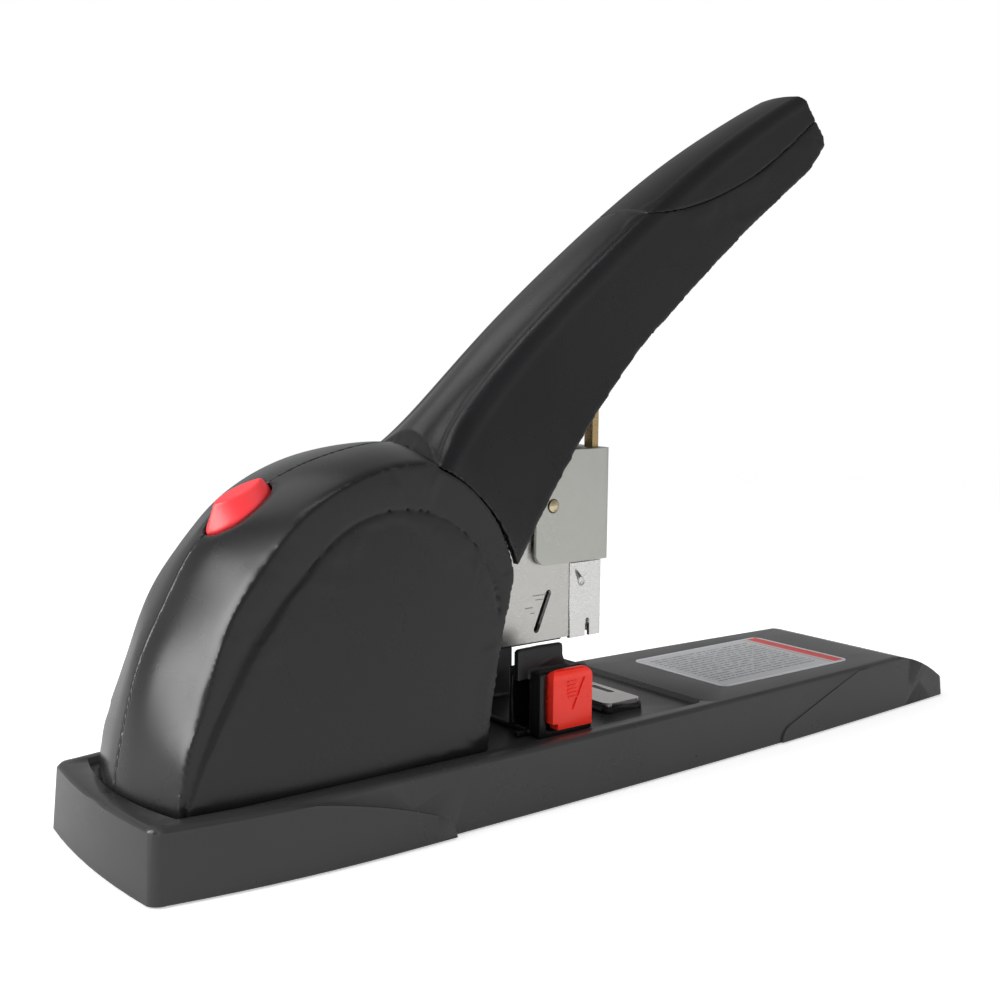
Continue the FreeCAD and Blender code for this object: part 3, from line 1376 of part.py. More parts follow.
rail = new_body("staple_rail")
rail_inner = "(rail_half - rail_sheet)"
rail_front = "(blade_rear - 0.15)"
pad(rail, "XY", "rail_floor", "rail_sheet", [box(at("rail_rear"), at(rail_front), "-rail_half", "rail_half")])
for side in ("-rail_half", rail_inner):
    pad(rail, "XZ", side, "rail_sheet", [box(at("rail_rear"), at(rail_front), "rail_floor", "rail_top")])
for place in ("rail_rear", "%s - 2.6" % rail_front):
    pad(rail, "YZ", at(place), "rail_sheet", [box("-" + rail_inner, rail_inner, "rail_floor", "rail_top - 2.2")])
for side in ("-" + nose_inner, "rail_half"):
    pad(rail, "XZ", side, "%s - rail_half" % nose_inner, [box(at("137.4"), at("143.3"), "rail_floor", "42")])
pocket(rail, "YZ", at("rail_rear - 1"), "130", [ring("0", "47.6", "rod_radius + running_gap")])
pocket(rail, "XZ", "-20", "40", [box(at("rail_rear - 1"), at("44.5"), "53.8", "rail_top + 1")])
node(cylinder("rod_solid", "rod_radius", "%s - 1.7 - rail_rear" % rail_front, at("rail_rear - 0.5"), "0", "47.6",
              Rotation(Vector(0, 1, 0), 90)), "pusher_guide_rod")

staples = new_body("staples")
staples.AllowCompound = True
crown_high = "(rail_top + 0.3 + staple_wire)"
crown_low = "(rail_top + 0.3)"
leg_low = "(%s - staple_leg)" % crown_high
leg_inner = "(staple_half - staple_wire)"
first_staple = pad(staples, "YZ", at("%s - staple_wire" % rail_front), "staple_wire", [polygon(
    ("-staple_half", leg_low), ("-" + leg_inner, leg_low), ("-" + leg_inner, crown_low), (leg_inner, crown_low),
    (leg_inner, leg_low), ("staple_half", leg_low), ("staple_half", crown_high), ("-staple_half", crown_high))])
strip = staples.newObject("PartDesign::LinearPattern", "staple_strip")
strip.Originals = [first_staple]
x_axis = next(f for f in staples.Origin.OriginFeatures if f.Role == "X_Axis")
strip.Direction = (x_axis, [""])
strip.Reversed = True
bind(strip, "Length", "staple_pitch*(staple_count - 1)")
bind(strip, "Occurrences", "staple_count")
staples.Tip = strip

pusher = new_body("staple_pusher")
strip_rear = "(%s - staple_wire - staple_pitch*(staple_count - 1) - 0.1)" % rail_front
pusher_rear = "(%s - 11)" % strip_rear
pusher_length = "(%s - %s)" % (strip_rear, pusher_rear)
pad(pusher, "XY", "rail_top + 0.25", "2", [box(at(pusher_rear), at(strip_rear), "-%s + 0.15" % cheek_inner,
                                              "%s - 0.15" % cheek_inner)])
for side in ("-(%s - 0.15)" % cheek_inner, "rail_half + 0.15"):
    pad(pusher, "XZ", side, "%s - 0.3 - rail_half" % cheek_inner,
        [box(at(pusher_rear), at(strip_rear), leg_low, "rail_top + 1")])
pad(pusher, "XZ", "-%s + 0.5" % rail_inner, "2*%s - 1" % rail_inner,
    [box(at(pusher_rear + " + 2"), at(strip_rear + " - 2"), "43.4", "rail_top + 1")])
pocket(pusher, "YZ", at(pusher_rear + " - 1"), "20", [ring("0", "47.6", "rod_radius + 0.1")])

# Driver: folded sleeve, block, blade and the strut that the handle presses
sleeve_outer = "(sleeve_inner_half + sleeve_sheet)"
sleeve_front = "(nose_front + 0.45)"
sleeve = new_body("driver_sleeve")
pad(sleeve, "XY", "sleeve_bottom", "sleeve_top - sleeve_bottom", [[
    corner(at("sleeve_rear"), "-" + sleeve_outer),
    corner(at(sleeve_front + " - 1"), "-" + sleeve_outer),
    via(at(sleeve_front + " + sleeve_sheet - 0.6"), "-(%s - 0.6)" % sleeve_outer),
    corner(at(sleeve_front + " + sleeve_sheet"), "-(%s - 2.1)" % sleeve_outer),
    corner(at(sleeve_front + " + sleeve_sheet"), "%s - 2.1" % sleeve_outer),
    via(at(sleeve_front + " + sleeve_sheet - 0.6"), "%s - 0.6" % sleeve_outer),
    corner(at(sleeve_front + " - 1"), sleeve_outer),
    corner(at("sleeve_rear"), sleeve_outer),
    corner(at("sleeve_rear"), "sleeve_inner_half"),
    corner(at(sleeve_front + " - 0.4"), "sleeve_inner_half"),
    via(at(sleeve_front + " - 0.12"), "sleeve_inner_half - 0.12"),
    corner(at(sleeve_front), "sleeve_inner_half - 0.4"),
    corner(at(sleeve_front), "-(sleeve_inner_half - 0.4)"),
    via(at(sleeve_front + " - 0.12"), "-(sleeve_inner_half - 0.12)"),
    corner(at(sleeve_front + " - 0.4"), "-sleeve_inner_half"),
    corner(at("sleeve_rear"), "-sleeve_inner_half"),
]])
pocket(sleeve, "XZ", "-20", "40", [
    [
        corner(at("sleeve_rear - 1"), "sleeve_bottom - 1"),
        corner(at("sleeve_rear + 3.5"), "sleeve_bottom - 1"),
        corner(at("sleeve_rear + 3.5"), "sleeve_bottom"),
        via(at("sleeve_rear + 1"), "sleeve_bottom + 1"),
        corner(at("sleeve_rear"), "sleeve_bottom + 3.5"),
        corner(at("sleeve_rear - 1"), "sleeve_bottom + 3.5"),
    ],
    ring(at("128.4"), "75", "2"),
])
block = new_body("driver_block")
pad(block, "XY", "sleeve_top - 10", "10", [soft_box(
    at("138"), at(sleeve_front + " - running_gap"), "-sleeve_inner_half + running_gap",
    "sleeve_inner_half - running_gap", "1.2")])
blade = new_body("driver_blade")
pad(blade, "YZ", at("blade_rear"), "blade_thickness", [box(
    "-blade_half", "blade_half", "sleeve_bottom", "sleeve_top - 10")])
strut = new_body("driver_strut")
strut_rear = "(blade_rear - 0.7)"
pad(strut, "YZ", at(strut_rear), "2.2", [
    polygon(("-blade_half", "sleeve_top"), ("-3", "sleeve_top"), ("-3", "105"), ("3", "105"), ("3", "sleeve_top"),
            ("blade_half", "sleeve_top"), ("blade_half", "rod_top"), ("-blade_half", "rod_top"))])
round_edges(strut, lambda edge: abs(edge.Vertexes[0].Z - size("rod_top")) < 0.001
            and abs(edge.Vertexes[-1].Z - size("rod_top")) < 0.001 and edge.Length > 5, "1.05")
rivets = []
for n, side in enumerate((-1, 1), start=1):
    away = Rotation(Vector(1, 0, 0), 90 if side < 0 else -90)
    collar = cylinder("rivet_collar_%d" % n, "2.6", "sleeve_inner_half - magazine_half - 0.2", at("128.4"),
                      "%d*(magazine_half + 0.15)" % side, "75", away)
    shank = cylinder("rivet_shank_%d" % n, "1.7", "2", at("128.4"), "%d*(magazine_half + 0.2)" % side, "75", away)
    dome = doc.addObject("Part::Sphere", "rivet_dome_%d" % n)
    bind(dome, "Radius", "2.4")
    bind(dome, "Placement.Base.x", at("128.4"))
    bind(dome, "Placement.Base.y", "%d*(%s - 1.5)" % (side, sleeve_outer))
    bind(dome, "Placement.Base.z", "75")
    limit = cylinder("rivet_limit_%d" % n, "1.7", "3", at("128.4"), "%d*(%s - 0.6)" % (side, sleeve_outer),
                     "75", away)
    rivets.append(fused("rivet_%d" % n, collar, shank, shared("rivet_head_%d" % n, dome, limit)))
group("driver_rivets", rivets)

# Paper guide: a saddle across the deck with a fence, two red buttons and their springs
guide = new_body("paper_guide")
guide_low = "(%s + 0.1)" % deck
guide_side = [
    corner(at("guide_rear"), guide_low),
    corner(at("guide_front"), guide_low),
    corner(at("guide_front"), "guide_top - 1.6"),
    via(at("guide_front - 0.5"), "guide_top - 0.5"),
    corner(at("guide_front - 1.6"), "guide_top"),
    corner(at("guide_rear"), "guide_top"),
]
pad(guide, "XY", guide_low, "guide_bar", [box(at("guide_rear"), at("guide_front"), "-12", "12")])
for side in ("-guide_half", "guide_inner_half"):
    pad(guide, "XZ", side, "guide_half - guide_inner_half", [guide_side])
fence = [
    corner(at("109"), guide_low),
    corner(at("ear_front"), guide_low),
    corner(at("ear_front + 3.5"), "guide_top - 0.5"),
    via(at("ear_front + 1"), "guide_top + 1.2"),
    corner(at("ear_front"), "guide_top + 3.4"),
    corner(at("ear_front"), "ear_top - 0.6"),
    corner(at("ear_front - 0.6"), "ear_top"),
    corner(at("109.6"), "ear_top"),
    corner(at("109"), "ear_top - 0.6"),
]
for side in ("-(ear_half - 0.4)", "ear_half - 0.4 - ear_sheet"):
    pad(guide, "XZ", side, "ear_sheet", [fence])
tongue_low = "(%s - 4.3)" % deck
pad(guide, "XY", tongue_low, "4.6", [box(at("118"), at("126"), "-2.2", "2.2")])
pad(guide, "XY", tongue_low, "1.4", [box(at("118"), at("126"), "-4.5", "4.5")])
floor_half = "(guide_half - 3.5)"
for side in ("-30", floor_half):
    pocket(guide, "XZ", side, "30 - %s" % floor_half, [
        box(at("button_rear - 0.3"), at("button_front + 0.3"), "button_bottom - 0.3", "45")])
for side in ("-(guide_half - 4.6)", "12.4"):
    pocket(guide, "XZ", side, "guide_half - 4.6 - 12.4", [
        box(at("108"), at("guide_front - 2"), guide_low + " + guide_bar", "guide_top - 1.8")])
for side in ("-25", "12.4"):
    pocket(guide, "XZ", side, "12.6", [ring(at("122.4"), "25", "guide_coil_radius + guide_wire/2 + 0.4")])

red_side = [
    corner(at("button_rear"), "button_bottom + 4.6"),
    corner(at("button_rear + 2.4"), "button_bottom + 4.6"),
    corner(at("button_rear + 3"), "button_bottom + 0.8"),
    via(at("button_rear + 3.4"), "button_bottom + 0.2"),
    corner(at("button_rear + 4"), "button_bottom"),
    corner(at("button_front - 1"), "button_bottom"),
    via(at("button_front - 0.3"), "button_bottom + 0.3"),
    corner(at("button_front"), "button_bottom + 1"),
    corner(at("button_front"), "button_top - 0.8"),
    via(at("(button_rear + button_front)/2"), "button_top + 0.5"),
    corner(at("button_rear"), "button_top - 0.8"),
]
button_in = "(guide_half - 1.3)"
button_out = "(guide_half + button_stand)"
for label, side in (("guide_button_right", -1), ("guide_button_left", 1)):
    button = new_body(label)
    level = "-" + button_out if side < 0 else button_in
    pad(button, "XZ", level, "%s - %s" % (button_out, button_in), [red_side])
    level = "-" + button_in if side < 0 else "15"
    pad(button, "XZ", level, "%s - 15" % button_in, [ring(at("122.4"), "25", "1.5")])
    level = "-(%s + 0.5)" % button_out if side < 0 else button_out
    pad(button, "XZ", level, "0.5", [
        box(at("117.5"), at("118.1"), "24.5", "31"), box(at("119"), at("119.6"), "24.5", "31"),
        box(at("125.4"), at("126"), "24.5", "31"), box(at("126.9"), at("127.5"), "24.5", "31")])


# Springs: round wire along short tangent arcs


def tangent_arcs(first, leave, last, arrive):
    """Two arcs that join two points and keep the direction at each."""
    span = last - first
    both = leave + arrive
    a = 2 * leave.dot(arrive) - 2
    b = -2 * span.dot(both)
    c = span.dot(span)
    reach = -c / b if abs(a) < 1e-9 else (-b - math.sqrt(b * b - 4 * a * c)) / (2 * a)
    if reach <= 0:
        reach = (-b + math.sqrt(b * b - 4 * a * c)) / (2 * a)
    knee = first + leave * reach
    ankle = last - arrive * reach
    joint = (knee + ankle) * 0.5
    edges = []
    for start, control, end in ((first, knee, joint), (joint, ankle, last)):
        weight = (end - start).Length / (2 * (control - start).Length)
        middle = (start + control * (2 * weight) + end) * (1 / (2 + 2 * weight))
        edges.append(Part.Arc(start, middle, end).toShape())
    return edges


def coil(label, foot, along, across, radius, wire, turns, length, legs=None):
    """A spring of round wire from its foot along an axis, with legs for a torsion spring."""
    up = Vector(along).normalize()
    first = Vector(across).normalize()
    second = up.cross(first)
    rise = (length - wire) / (2 * math.pi * turns)
    spots = []
    for step in range(int(turns * 4) + 1):
        turn = step * math.pi / 2
        out = first * math.cos(turn) + second * math.sin(turn)
        spot = foot + up * (wire / 2 + rise * turn) + out * radius
        run = (second * math.cos(turn) - first * math.sin(turn)) * radius + up * rise
        spots.append((spot, run.normalize()))
    edges = []
    if legs:
        edges.append(Part.makeLine(spots[0][0] - spots[0][1] * legs[0], spots[0][0]))
    for (start, leave), (end, arrive) in zip(spots, spots[1:]):
        edges += tangent_arcs(start, leave, end, arrive)
    if legs:
        edges.append(Part.makeLine(spots[-1][0], spots[-1][0] + spots[-1][1] * legs[1]))
    begin = edges[0].Vertexes[0].Point
    run = spots[0][1]
    outline = Part.Wire([Part.makeCircle(wire / 2, begin, run)])
    tube = Part.Wire(edges).makePipeShell([outline], True, False)
    middle_line = [
        foot + up * (wire / 2 + rise * turn) + (first * math.cos(turn) + second * math.sin(turn)) * radius
        for turn in (2 * math.pi * k / 24 for k in range(int(turns * 24) + 1))
    ]
    gap = min((middle_line[i] - middle_line[j]).Length for i in range(len(middle_line))
              for j in range(i + 12, len(middle_line))) - wire
    print("%s: least gap between turns %.2f mm" % (label, gap))
    return tube


def spring_node(label, tubes):
    feature = doc.addObject("Part::Feature", label)
    feature.Shape = tubes[0] if len(tubes) == 1 else Part.makeCompound(tubes)
    feature.Placement = Placement()
    return node(feature, label)


def spot(station, y, z):
    return Vector(size(at(station)), size(y), size(z))


lift_length = size("magazine_floor - strip_drop - 0.05 - (%s)" % plate_top)
spring_node("head_return_spring", [coil(
    "head_return_spring", spot("lift_station", "0", plate_top) + Vector(0, 0, 0.02), Vector(0, 0, 1), Vector(1, 0, 0),
    size("lift_radius"), size("lift_wire"), size("lift_turns"), lift_length)])
hinge_coils = []
for side in (-1, 1):
    hinge_coils.append(coil(
        "handle_return_springs", spot("pivot_station", "%d*(%s + 1.1)" % (side, lever_outer), "pivot_height"),
        Vector(0, side, 0), Vector(0.94, 0, -0.34), size("hinge_coil_radius"), size("hinge_wire"),
        size("hinge_turns"), size("hinge_turns")*1.65 + size("hinge_wire"), (9.0, 9.0)))
spring_node("handle_return_springs", hinge_coils)
pusher_start = size(at("rail_rear + rail_sheet + 0.05"))
pusher_end = size(at(pusher_rear + " + 1.95"))
spring_node("pusher_spring", [coil(
    "pusher_spring", Vector(pusher_start, 0, size("47.6")), Vector(1, 0, 0), Vector(0, 0, 1),
    size("pusher_coil_radius"), size("pusher_wire"), size("pusher_turns"), pusher_end - pusher_start)])
inward = Vector(-math.cos(math.radians(size("release_angle"))), 0, -math.sin(math.radians(size("release_angle"))))
flange_x, flange_z = spine("release_angle", "release_depth + 0.05")
release_foot = Vector(size(flange_x), 0, size(flange_z))
spring_node("release_spring", [coil(
    "release_spring", release_foot, inward, Vector(0, 1, 0), size("release_coil_radius"), size("release_wire"),
    size("release_turns"), size("%s - release_depth" % shelf_depth) - 0.1)])
for label, side in (("guide_spring_right", -1), ("guide_spring_left", 1)):
    spring_node(label, [coil(
        label, spot("122.4", "%d*12.45" % side, "25"), Vector(0, side, 0), Vector(1, 0, 0),
        size("guide_coil_radius"), size("guide_wire"), size("guide_turns"), size(button_in) - 12.5)])


# Check every object, then write each piece to its own file
doc.recompute()
for item in doc.Objects:
    if "Invalid" in item.State or "Error" in item.State:
        raise RuntimeError("%s is not in order: %s" % (item.Label, item.State))
os.makedirs("parts", exist_ok=True)
for item in NODES:
    if item.Shape.isNull() or not item.Shape.isValid():
        raise RuntimeError(item.Label + " has no valid shape")
    item.Shape.exportStep(os.path.join("parts", item.Label + ".step"))
    print(item.Label, len(item.Shape.Solids), "%.2f cubic cm" % (item.Shape.Volume / 1000))
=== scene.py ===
import json
import math

import bpy
import numpy as np
from mathutils import Matrix, Vector

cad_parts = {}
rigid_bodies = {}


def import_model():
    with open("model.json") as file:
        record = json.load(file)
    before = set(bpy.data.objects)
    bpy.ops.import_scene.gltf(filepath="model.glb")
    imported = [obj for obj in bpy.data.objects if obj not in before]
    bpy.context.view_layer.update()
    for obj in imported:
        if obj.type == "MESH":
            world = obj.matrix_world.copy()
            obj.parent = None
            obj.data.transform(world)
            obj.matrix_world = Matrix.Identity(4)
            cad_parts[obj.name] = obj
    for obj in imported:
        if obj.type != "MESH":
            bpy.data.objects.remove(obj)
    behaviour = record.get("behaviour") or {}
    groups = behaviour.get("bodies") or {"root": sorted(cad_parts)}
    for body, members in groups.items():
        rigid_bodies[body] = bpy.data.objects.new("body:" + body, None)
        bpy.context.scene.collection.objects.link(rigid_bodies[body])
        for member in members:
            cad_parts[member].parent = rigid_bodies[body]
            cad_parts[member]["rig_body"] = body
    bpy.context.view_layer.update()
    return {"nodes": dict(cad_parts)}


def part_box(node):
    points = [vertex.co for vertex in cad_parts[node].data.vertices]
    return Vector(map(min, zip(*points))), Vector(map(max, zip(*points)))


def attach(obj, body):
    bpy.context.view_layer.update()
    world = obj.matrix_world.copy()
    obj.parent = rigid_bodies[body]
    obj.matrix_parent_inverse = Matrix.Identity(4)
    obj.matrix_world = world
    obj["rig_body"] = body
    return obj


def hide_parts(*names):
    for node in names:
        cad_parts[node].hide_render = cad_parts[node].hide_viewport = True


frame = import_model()

# Heavy-duty desk stapler. Everything is in metres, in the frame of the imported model:
# +X runs from the rear of the base to its nose, +Z is up.

# Camera: stands low at the rear right corner and looks along the stapler, close enough
# for strong perspective. It takes the image as a square.
EYE = Vector((-0.24941, -0.28683, 0.12135))
HEADING = math.radians(52.5546)
DOWNWARD = math.radians(8.0805)
ROLL = math.radians(0.3947)
camera_data = bpy.data.cameras.new("photo_view")
camera_data.sensor_width = 36
camera_data.lens = 48.225
camera_data.shift_x = 0.0076
camera_data.shift_y = 0.0237
camera_data.clip_start = 0.01
camera = bpy.data.objects.new("photo_view", camera_data)
bpy.context.scene.collection.objects.link(camera)
turn = (
    Matrix.Rotation(HEADING - math.pi / 2, 4, "Z")
    @ Matrix.Rotation(math.pi / 2 - DOWNWARD, 4, "X")
    @ Matrix.Rotation(ROLL, 4, "Z")
)
camera.matrix_world = Matrix.Translation(EYE) @ turn
bpy.context.scene.camera = camera
bpy.context.scene.view_settings.view_transform = "Standard"


# Studio: a pale floor that fades into a white surround, a grey room that darkens towards
# its ceiling, a window behind on the left that draws the long highlight on the hood, and
# soft lamps above and in front.
def fresh_material(name):
    """A new material, with its node tree and its shader."""
    material = bpy.data.materials.new(name)
    material.use_nodes = True
    tree = material.node_tree
    shader = tree.nodes["Principled BSDF"]
    return material, tree, shader


def add_node(tree, kind, **values):
    """A node whose settings and plain sockets are given by name."""
    node = tree.nodes.new(kind)
    for key, value in values.items():
        label = key.replace("_", " ").title()
        if hasattr(node, key):
            setattr(node, key, value)
        else:
            node.inputs[label].default_value = value
    return node


def nothing_selected():
    """Leaves edit mode and deselects everything."""
    if bpy.context.object and bpy.context.object.mode != "OBJECT":
        bpy.ops.object.mode_set(mode="OBJECT")
    bpy.ops.object.select_all(action="DESELECT")


nothing_selected()
bpy.ops.mesh.primitive_circle_add(vertices=96, radius=3, fill_type="NGON", location=(0, 0, 0))
floor = bpy.context.object
floor.name = "floor"
material, tree, shader = fresh_material("pale_floor")
shader.inputs["Base Color"].default_value = (0.8, 0.8, 0.8, 1)
shader.inputs["Roughness"].default_value = 0.9
place = add_node(tree, "ShaderNodeTexCoord")
spread = add_node(tree, "ShaderNodeVectorMath", operation="LENGTH")
fade = add_node(tree, "ShaderNodeMapRange")
fade.inputs["From Min"].default_value = 0.25
fade.inputs["From Max"].default_value = 0.9
path = add_node(tree, "ShaderNodeLightPath")
seen = add_node(tree, "ShaderNodeMath", operation="MULTIPLY")
white = add_node(tree, "ShaderNodeEmission")
white.inputs["Color"].default_value = (1, 1, 1, 1)
lift = add_node(tree, "ShaderNodeEmission")
lift.inputs["Strength"].default_value = 0.5
raised = add_node(tree, "ShaderNodeAddShader")
shade = add_node(tree, "ShaderNodeMixShader")
surround = add_node(tree, "ShaderNodeMixShader")
out = tree.nodes["Material Output"]
tree.links.new(place.outputs["Object"], spread.inputs[0])
tree.links.new(spread.outputs["Value"], fade.inputs["Value"])
tree.links.new(fade.outputs["Result"], seen.inputs[0])
tree.links.new(path.outputs["Is Camera Ray"], seen.inputs[1])
tree.links.new(shader.outputs[0], raised.inputs[0])
tree.links.new(lift.outputs[0], raised.inputs[1])
tree.links.new(path.outputs["Is Camera Ray"], shade.inputs[0])
tree.links.new(shader.outputs[0], shade.inputs[1])
tree.links.new(raised.outputs[0], shade.inputs[2])
tree.links.new(seen.outputs[0], surround.inputs[0])
tree.links.new(shade.outputs[0], surround.inputs[1])
tree.links.new(white.outputs[0], surround.inputs[2])
tree.links.new(surround.outputs[0], out.inputs["Surface"])
floor.data.materials.append(material)

world = bpy.data.worlds.new("room")
bpy.context.scene.world = world
world.use_nodes = True
tree = world.node_tree
room = tree.nodes["Background"]
room.inputs["Color"].default_value = (0.98, 0.99, 1, 1)
heading = add_node(tree, "ShaderNodeTexCoord")
height = add_node(tree, "ShaderNodeSeparateXYZ")
darkening = add_node(tree, "ShaderNodeMapRange")
darkening.inputs["To Min"].default_value = 0.52
darkening.inputs["To Max"].default_value = 0.06
tree.links.new(heading.outputs["Generated"], height.inputs[0])
tree.links.new(height.outputs["Z"], darkening.inputs["Value"])
tree.links.new(darkening.outputs["Result"], room.inputs["Strength"])
bright = add_node(tree, "ShaderNodeBackground")
bright.inputs["Color"].default_value = (1, 1, 1, 1)
path = add_node(tree, "ShaderNodeLightPath")
see_through = add_node(tree, "ShaderNodeMath", operation="MAXIMUM")
chosen = add_node(tree, "ShaderNodeMixShader")
tree.links.new(path.outputs["Is Camera Ray"], see_through.inputs[0])
tree.links.new(path.outputs["Is Transmission Ray"], see_through.inputs[1])
tree.links.new(see_through.outputs[0], chosen.inputs[0])
tree.links.new(room.outputs[0], chosen.inputs[1])
tree.links.new(bright.outputs[0], chosen.inputs[2])
tree.links.new(chosen.outputs[0], tree.nodes["World Output"].inputs["Surface"])


def soft_light(name, spot, target, width, height, power):
    """A rectangular lamp that faces a point of the stapler."""
    lamp_data = bpy.data.lights.new(name, "AREA")
    lamp_data.shape = "RECTANGLE"
    lamp_data.size = width
    lamp_data.size_y = height
    lamp_data.energy = power
    lamp = bpy.data.objects.new(name, lamp_data)
    bpy.context.scene.collection.objects.link(lamp)
    aim = (Vector(target) - Vector(spot)).to_track_quat("-Z", "Y")
    lamp.matrix_world = Matrix.Translation(Vector(spot)) @ aim.to_matrix().to_4x4()
    return lamp


soft_light("window", (-1.1, 0.22, 0.6), (-0.1, 0, 0.06), 0.62, 0.95, 15)
soft_light("panel_behind", (-0.13, 0.94, 0.99), (0, 0, 0.1), 0.6, 0.4, 0.6)
soft_light("ceiling_strip", (-0.26, 0.3, 1.3), (-0.03, 0, 0.11), 0.12, 0.6, 0.8)
overhead = soft_light("overhead", (0.1, -0.25, 1.4), (0, 0, 0), 0.9, 0.9, 6)
overhead.visible_glossy = False
front_fill = soft_light("front_fill", (0.75, -0.95, 0.35), (0.02, 0, 0.06), 1.2, 0.7, 6)
front_fill.visible_glossy = False


# Base: one tray of satin black plastic, moulded with a rim and a stepped deck. It has a
# very fine grain and faint cloudiness, and is a little paler where its edges are rubbed.
def start_group(name, inputs, outputs):
    """An empty node group with named inputs and outputs."""
    group = bpy.data.node_groups.new(name, "ShaderNodeTree")
    for label, value in inputs:
        socket = group.interface.new_socket(label, in_out="INPUT", socket_type="NodeSocketFloat")
        socket.default_value = value
    for label, kind in outputs:
        group.interface.new_socket(label, in_out="OUTPUT", socket_type=kind)
    entry = group.nodes.new("NodeGroupInput")
    leave = group.nodes.new("NodeGroupOutput")
    return group, entry, leave


def math_node(tree, operation, first, second):
    """A Math node between two values, each a socket or a number."""
    node = tree.nodes.new("ShaderNodeMath")
    node.operation = operation
    for place, value in zip(node.inputs, (first, second)):
        if hasattr(value, "links"):
            tree.links.new(value, place)
        else:
            place.default_value = value
    return node.outputs[0]


def moulding_texture():
    """Fine grain and broad cloudiness of a moulded surface."""
    group, entry, leave = start_group(
        "Moulding texture",
        [("Grain", 3500.0), ("Cloud", 45.0)],
        [("Height", "NodeSocketFloat"), ("Cloudiness", "NodeSocketFloat")],
    )
    where = group.nodes.new("ShaderNodeTexCoord")
    grain = add_node(group, "ShaderNodeTexNoise")
    cloud = add_node(group, "ShaderNodeTexNoise")
    for texture, detail in ((grain, 2.0), (cloud, 5.0)):
        group.links.new(where.outputs["Object"], texture.inputs["Vector"])
        texture.inputs["Detail"].default_value = detail
    group.links.new(entry.outputs["Grain"], grain.inputs["Scale"])
    group.links.new(entry.outputs["Cloud"], cloud.inputs["Scale"])
    group.links.new(grain.outputs["Fac"], leave.inputs["Height"])
    group.links.new(cloud.outputs["Fac"], leave.inputs["Cloudiness"])
    return group


def rubbed_edges():
    """A mask of the outer edges, from how far a softened normal leaves the true one."""
    group, entry, leave = start_group(
        "Rubbed edges", [("Radius", 0.0006), ("Sharpness", 9.0)], [("Mask", "NodeSocketFloat")]
    )
    soft = group.nodes.new("ShaderNodeBevel")
    soft.samples = 4
    group.links.new(entry.outputs["Radius"], soft.inputs["Radius"])
    true = group.nodes.new("ShaderNodeNewGeometry")
    dot = add_node(group, "ShaderNodeVectorMath", operation="DOT_PRODUCT")
    group.links.new(soft.outputs["Normal"], dot.inputs[0])
    group.links.new(true.outputs["Normal"], dot.inputs[1])
    bend = math_node(group, "SUBTRACT", 1.0, dot.outputs["Value"])
    mask = math_node(group, "MULTIPLY", bend, entry.outputs["Sharpness"])
    held = math_node(group, "MINIMUM", mask, 1.0)
    group.links.new(held, leave.inputs["Mask"])
    return group


MOULDING = moulding_texture()
RUBBED = rubbed_edges()


def use_group(tree, group, **values):
    """A node group placed in a material, with its inputs given by name."""
    node = tree.nodes.new("ShaderNodeGroup")
    node.node_tree = group
    for key, value in values.items():
        node.inputs[key.capitalize()].default_value = value
    return node


def blended(tree, factor, first, second):
    """A colour between two colours, led by a factor socket."""
    mix = tree.nodes.new("ShaderNodeMix")
    mix.data_type = "RGBA"
    tree.links.new(factor, mix.inputs["Factor"])
    mix.inputs["A"].default_value = (*first, 1)
    mix.inputs["B"].default_value = (*second, 1)
    return mix.outputs["Result"]


def ranged(tree, value, low, high):
    """A texture's value, mostly between 0.3 and 0.7, spread over another range."""
    spread = tree.nodes.new("ShaderNodeMapRange")
    tree.links.new(value, spread.inputs["Value"])
    spread.inputs["From Min"].default_value = 0.3
    spread.inputs["From Max"].default_value = 0.7
    spread.inputs["To Min"].default_value = low
    spread.inputs["To Max"].default_value = high
    return spread.outputs["Result"]


def fine_bump(tree, height, strength, distance):
    """A very shallow relief from a height."""
    bump = tree.nodes.new("ShaderNodeBump")
    bump.inputs["Strength"].default_value = strength
    bump.inputs["Distance"].default_value = distance
    tree.links.new(height, bump.inputs["Height"])
    return bump.outputs["Normal"]


RUBBED_GAIN, RUBBED_LIFT = 1.6, 0.012
GRAIN_STRENGTH, GRAIN_DEPTH = 0.12, 0.00006


def moulded_plastic(name, dark, pale, smooth, rough, grain, edge, worn=0.3):
    """Moulded plastic between two tones and two roughnesses, a little paler where it is rubbed."""
    material, tree, shader = fresh_material(name)
    texture = use_group(tree, MOULDING, grain=grain)
    rub = use_group(tree, RUBBED, radius=edge)
    tone = blended(tree, texture.outputs["Cloudiness"], dark, pale)
    over = tree.nodes.new("ShaderNodeMix")
    over.data_type = "RGBA"
    tree.links.new(math_node(tree, "MULTIPLY", rub.outputs["Mask"], worn), over.inputs["Factor"])
    tree.links.new(tone, over.inputs["A"])
    over.inputs["B"].default_value = (*[min(1, part * RUBBED_GAIN + RUBBED_LIFT) for part in pale], 1)
    tree.links.new(over.outputs["Result"], shader.inputs["Base Color"])
    tree.links.new(ranged(tree, texture.outputs["Cloudiness"], smooth, rough), shader.inputs["Roughness"])
    normal = fine_bump(tree, texture.outputs["Height"], GRAIN_STRENGTH, GRAIN_DEPTH)
    tree.links.new(normal, shader.inputs["Normal"])
    return material


TOUCHING = 0.000002


def merged_copy(node):
    """A copy of a CAD node with its triangles joined, selected and active."""
    nothing_selected()
    source = frame["nodes"][node]
    copy = bpy.data.objects.new(node + "_skin", source.data.copy())
    bpy.context.scene.collection.objects.link(copy)
    bpy.context.view_layer.objects.active = copy
    copy.select_set(True)
    bpy.ops.object.mode_set(mode="EDIT")
    bpy.ops.mesh.select_all(action="SELECT")
    bpy.ops.mesh.remove_doubles(threshold=TOUCHING)
    bpy.ops.object.mode_set(mode="OBJECT")
    return copy


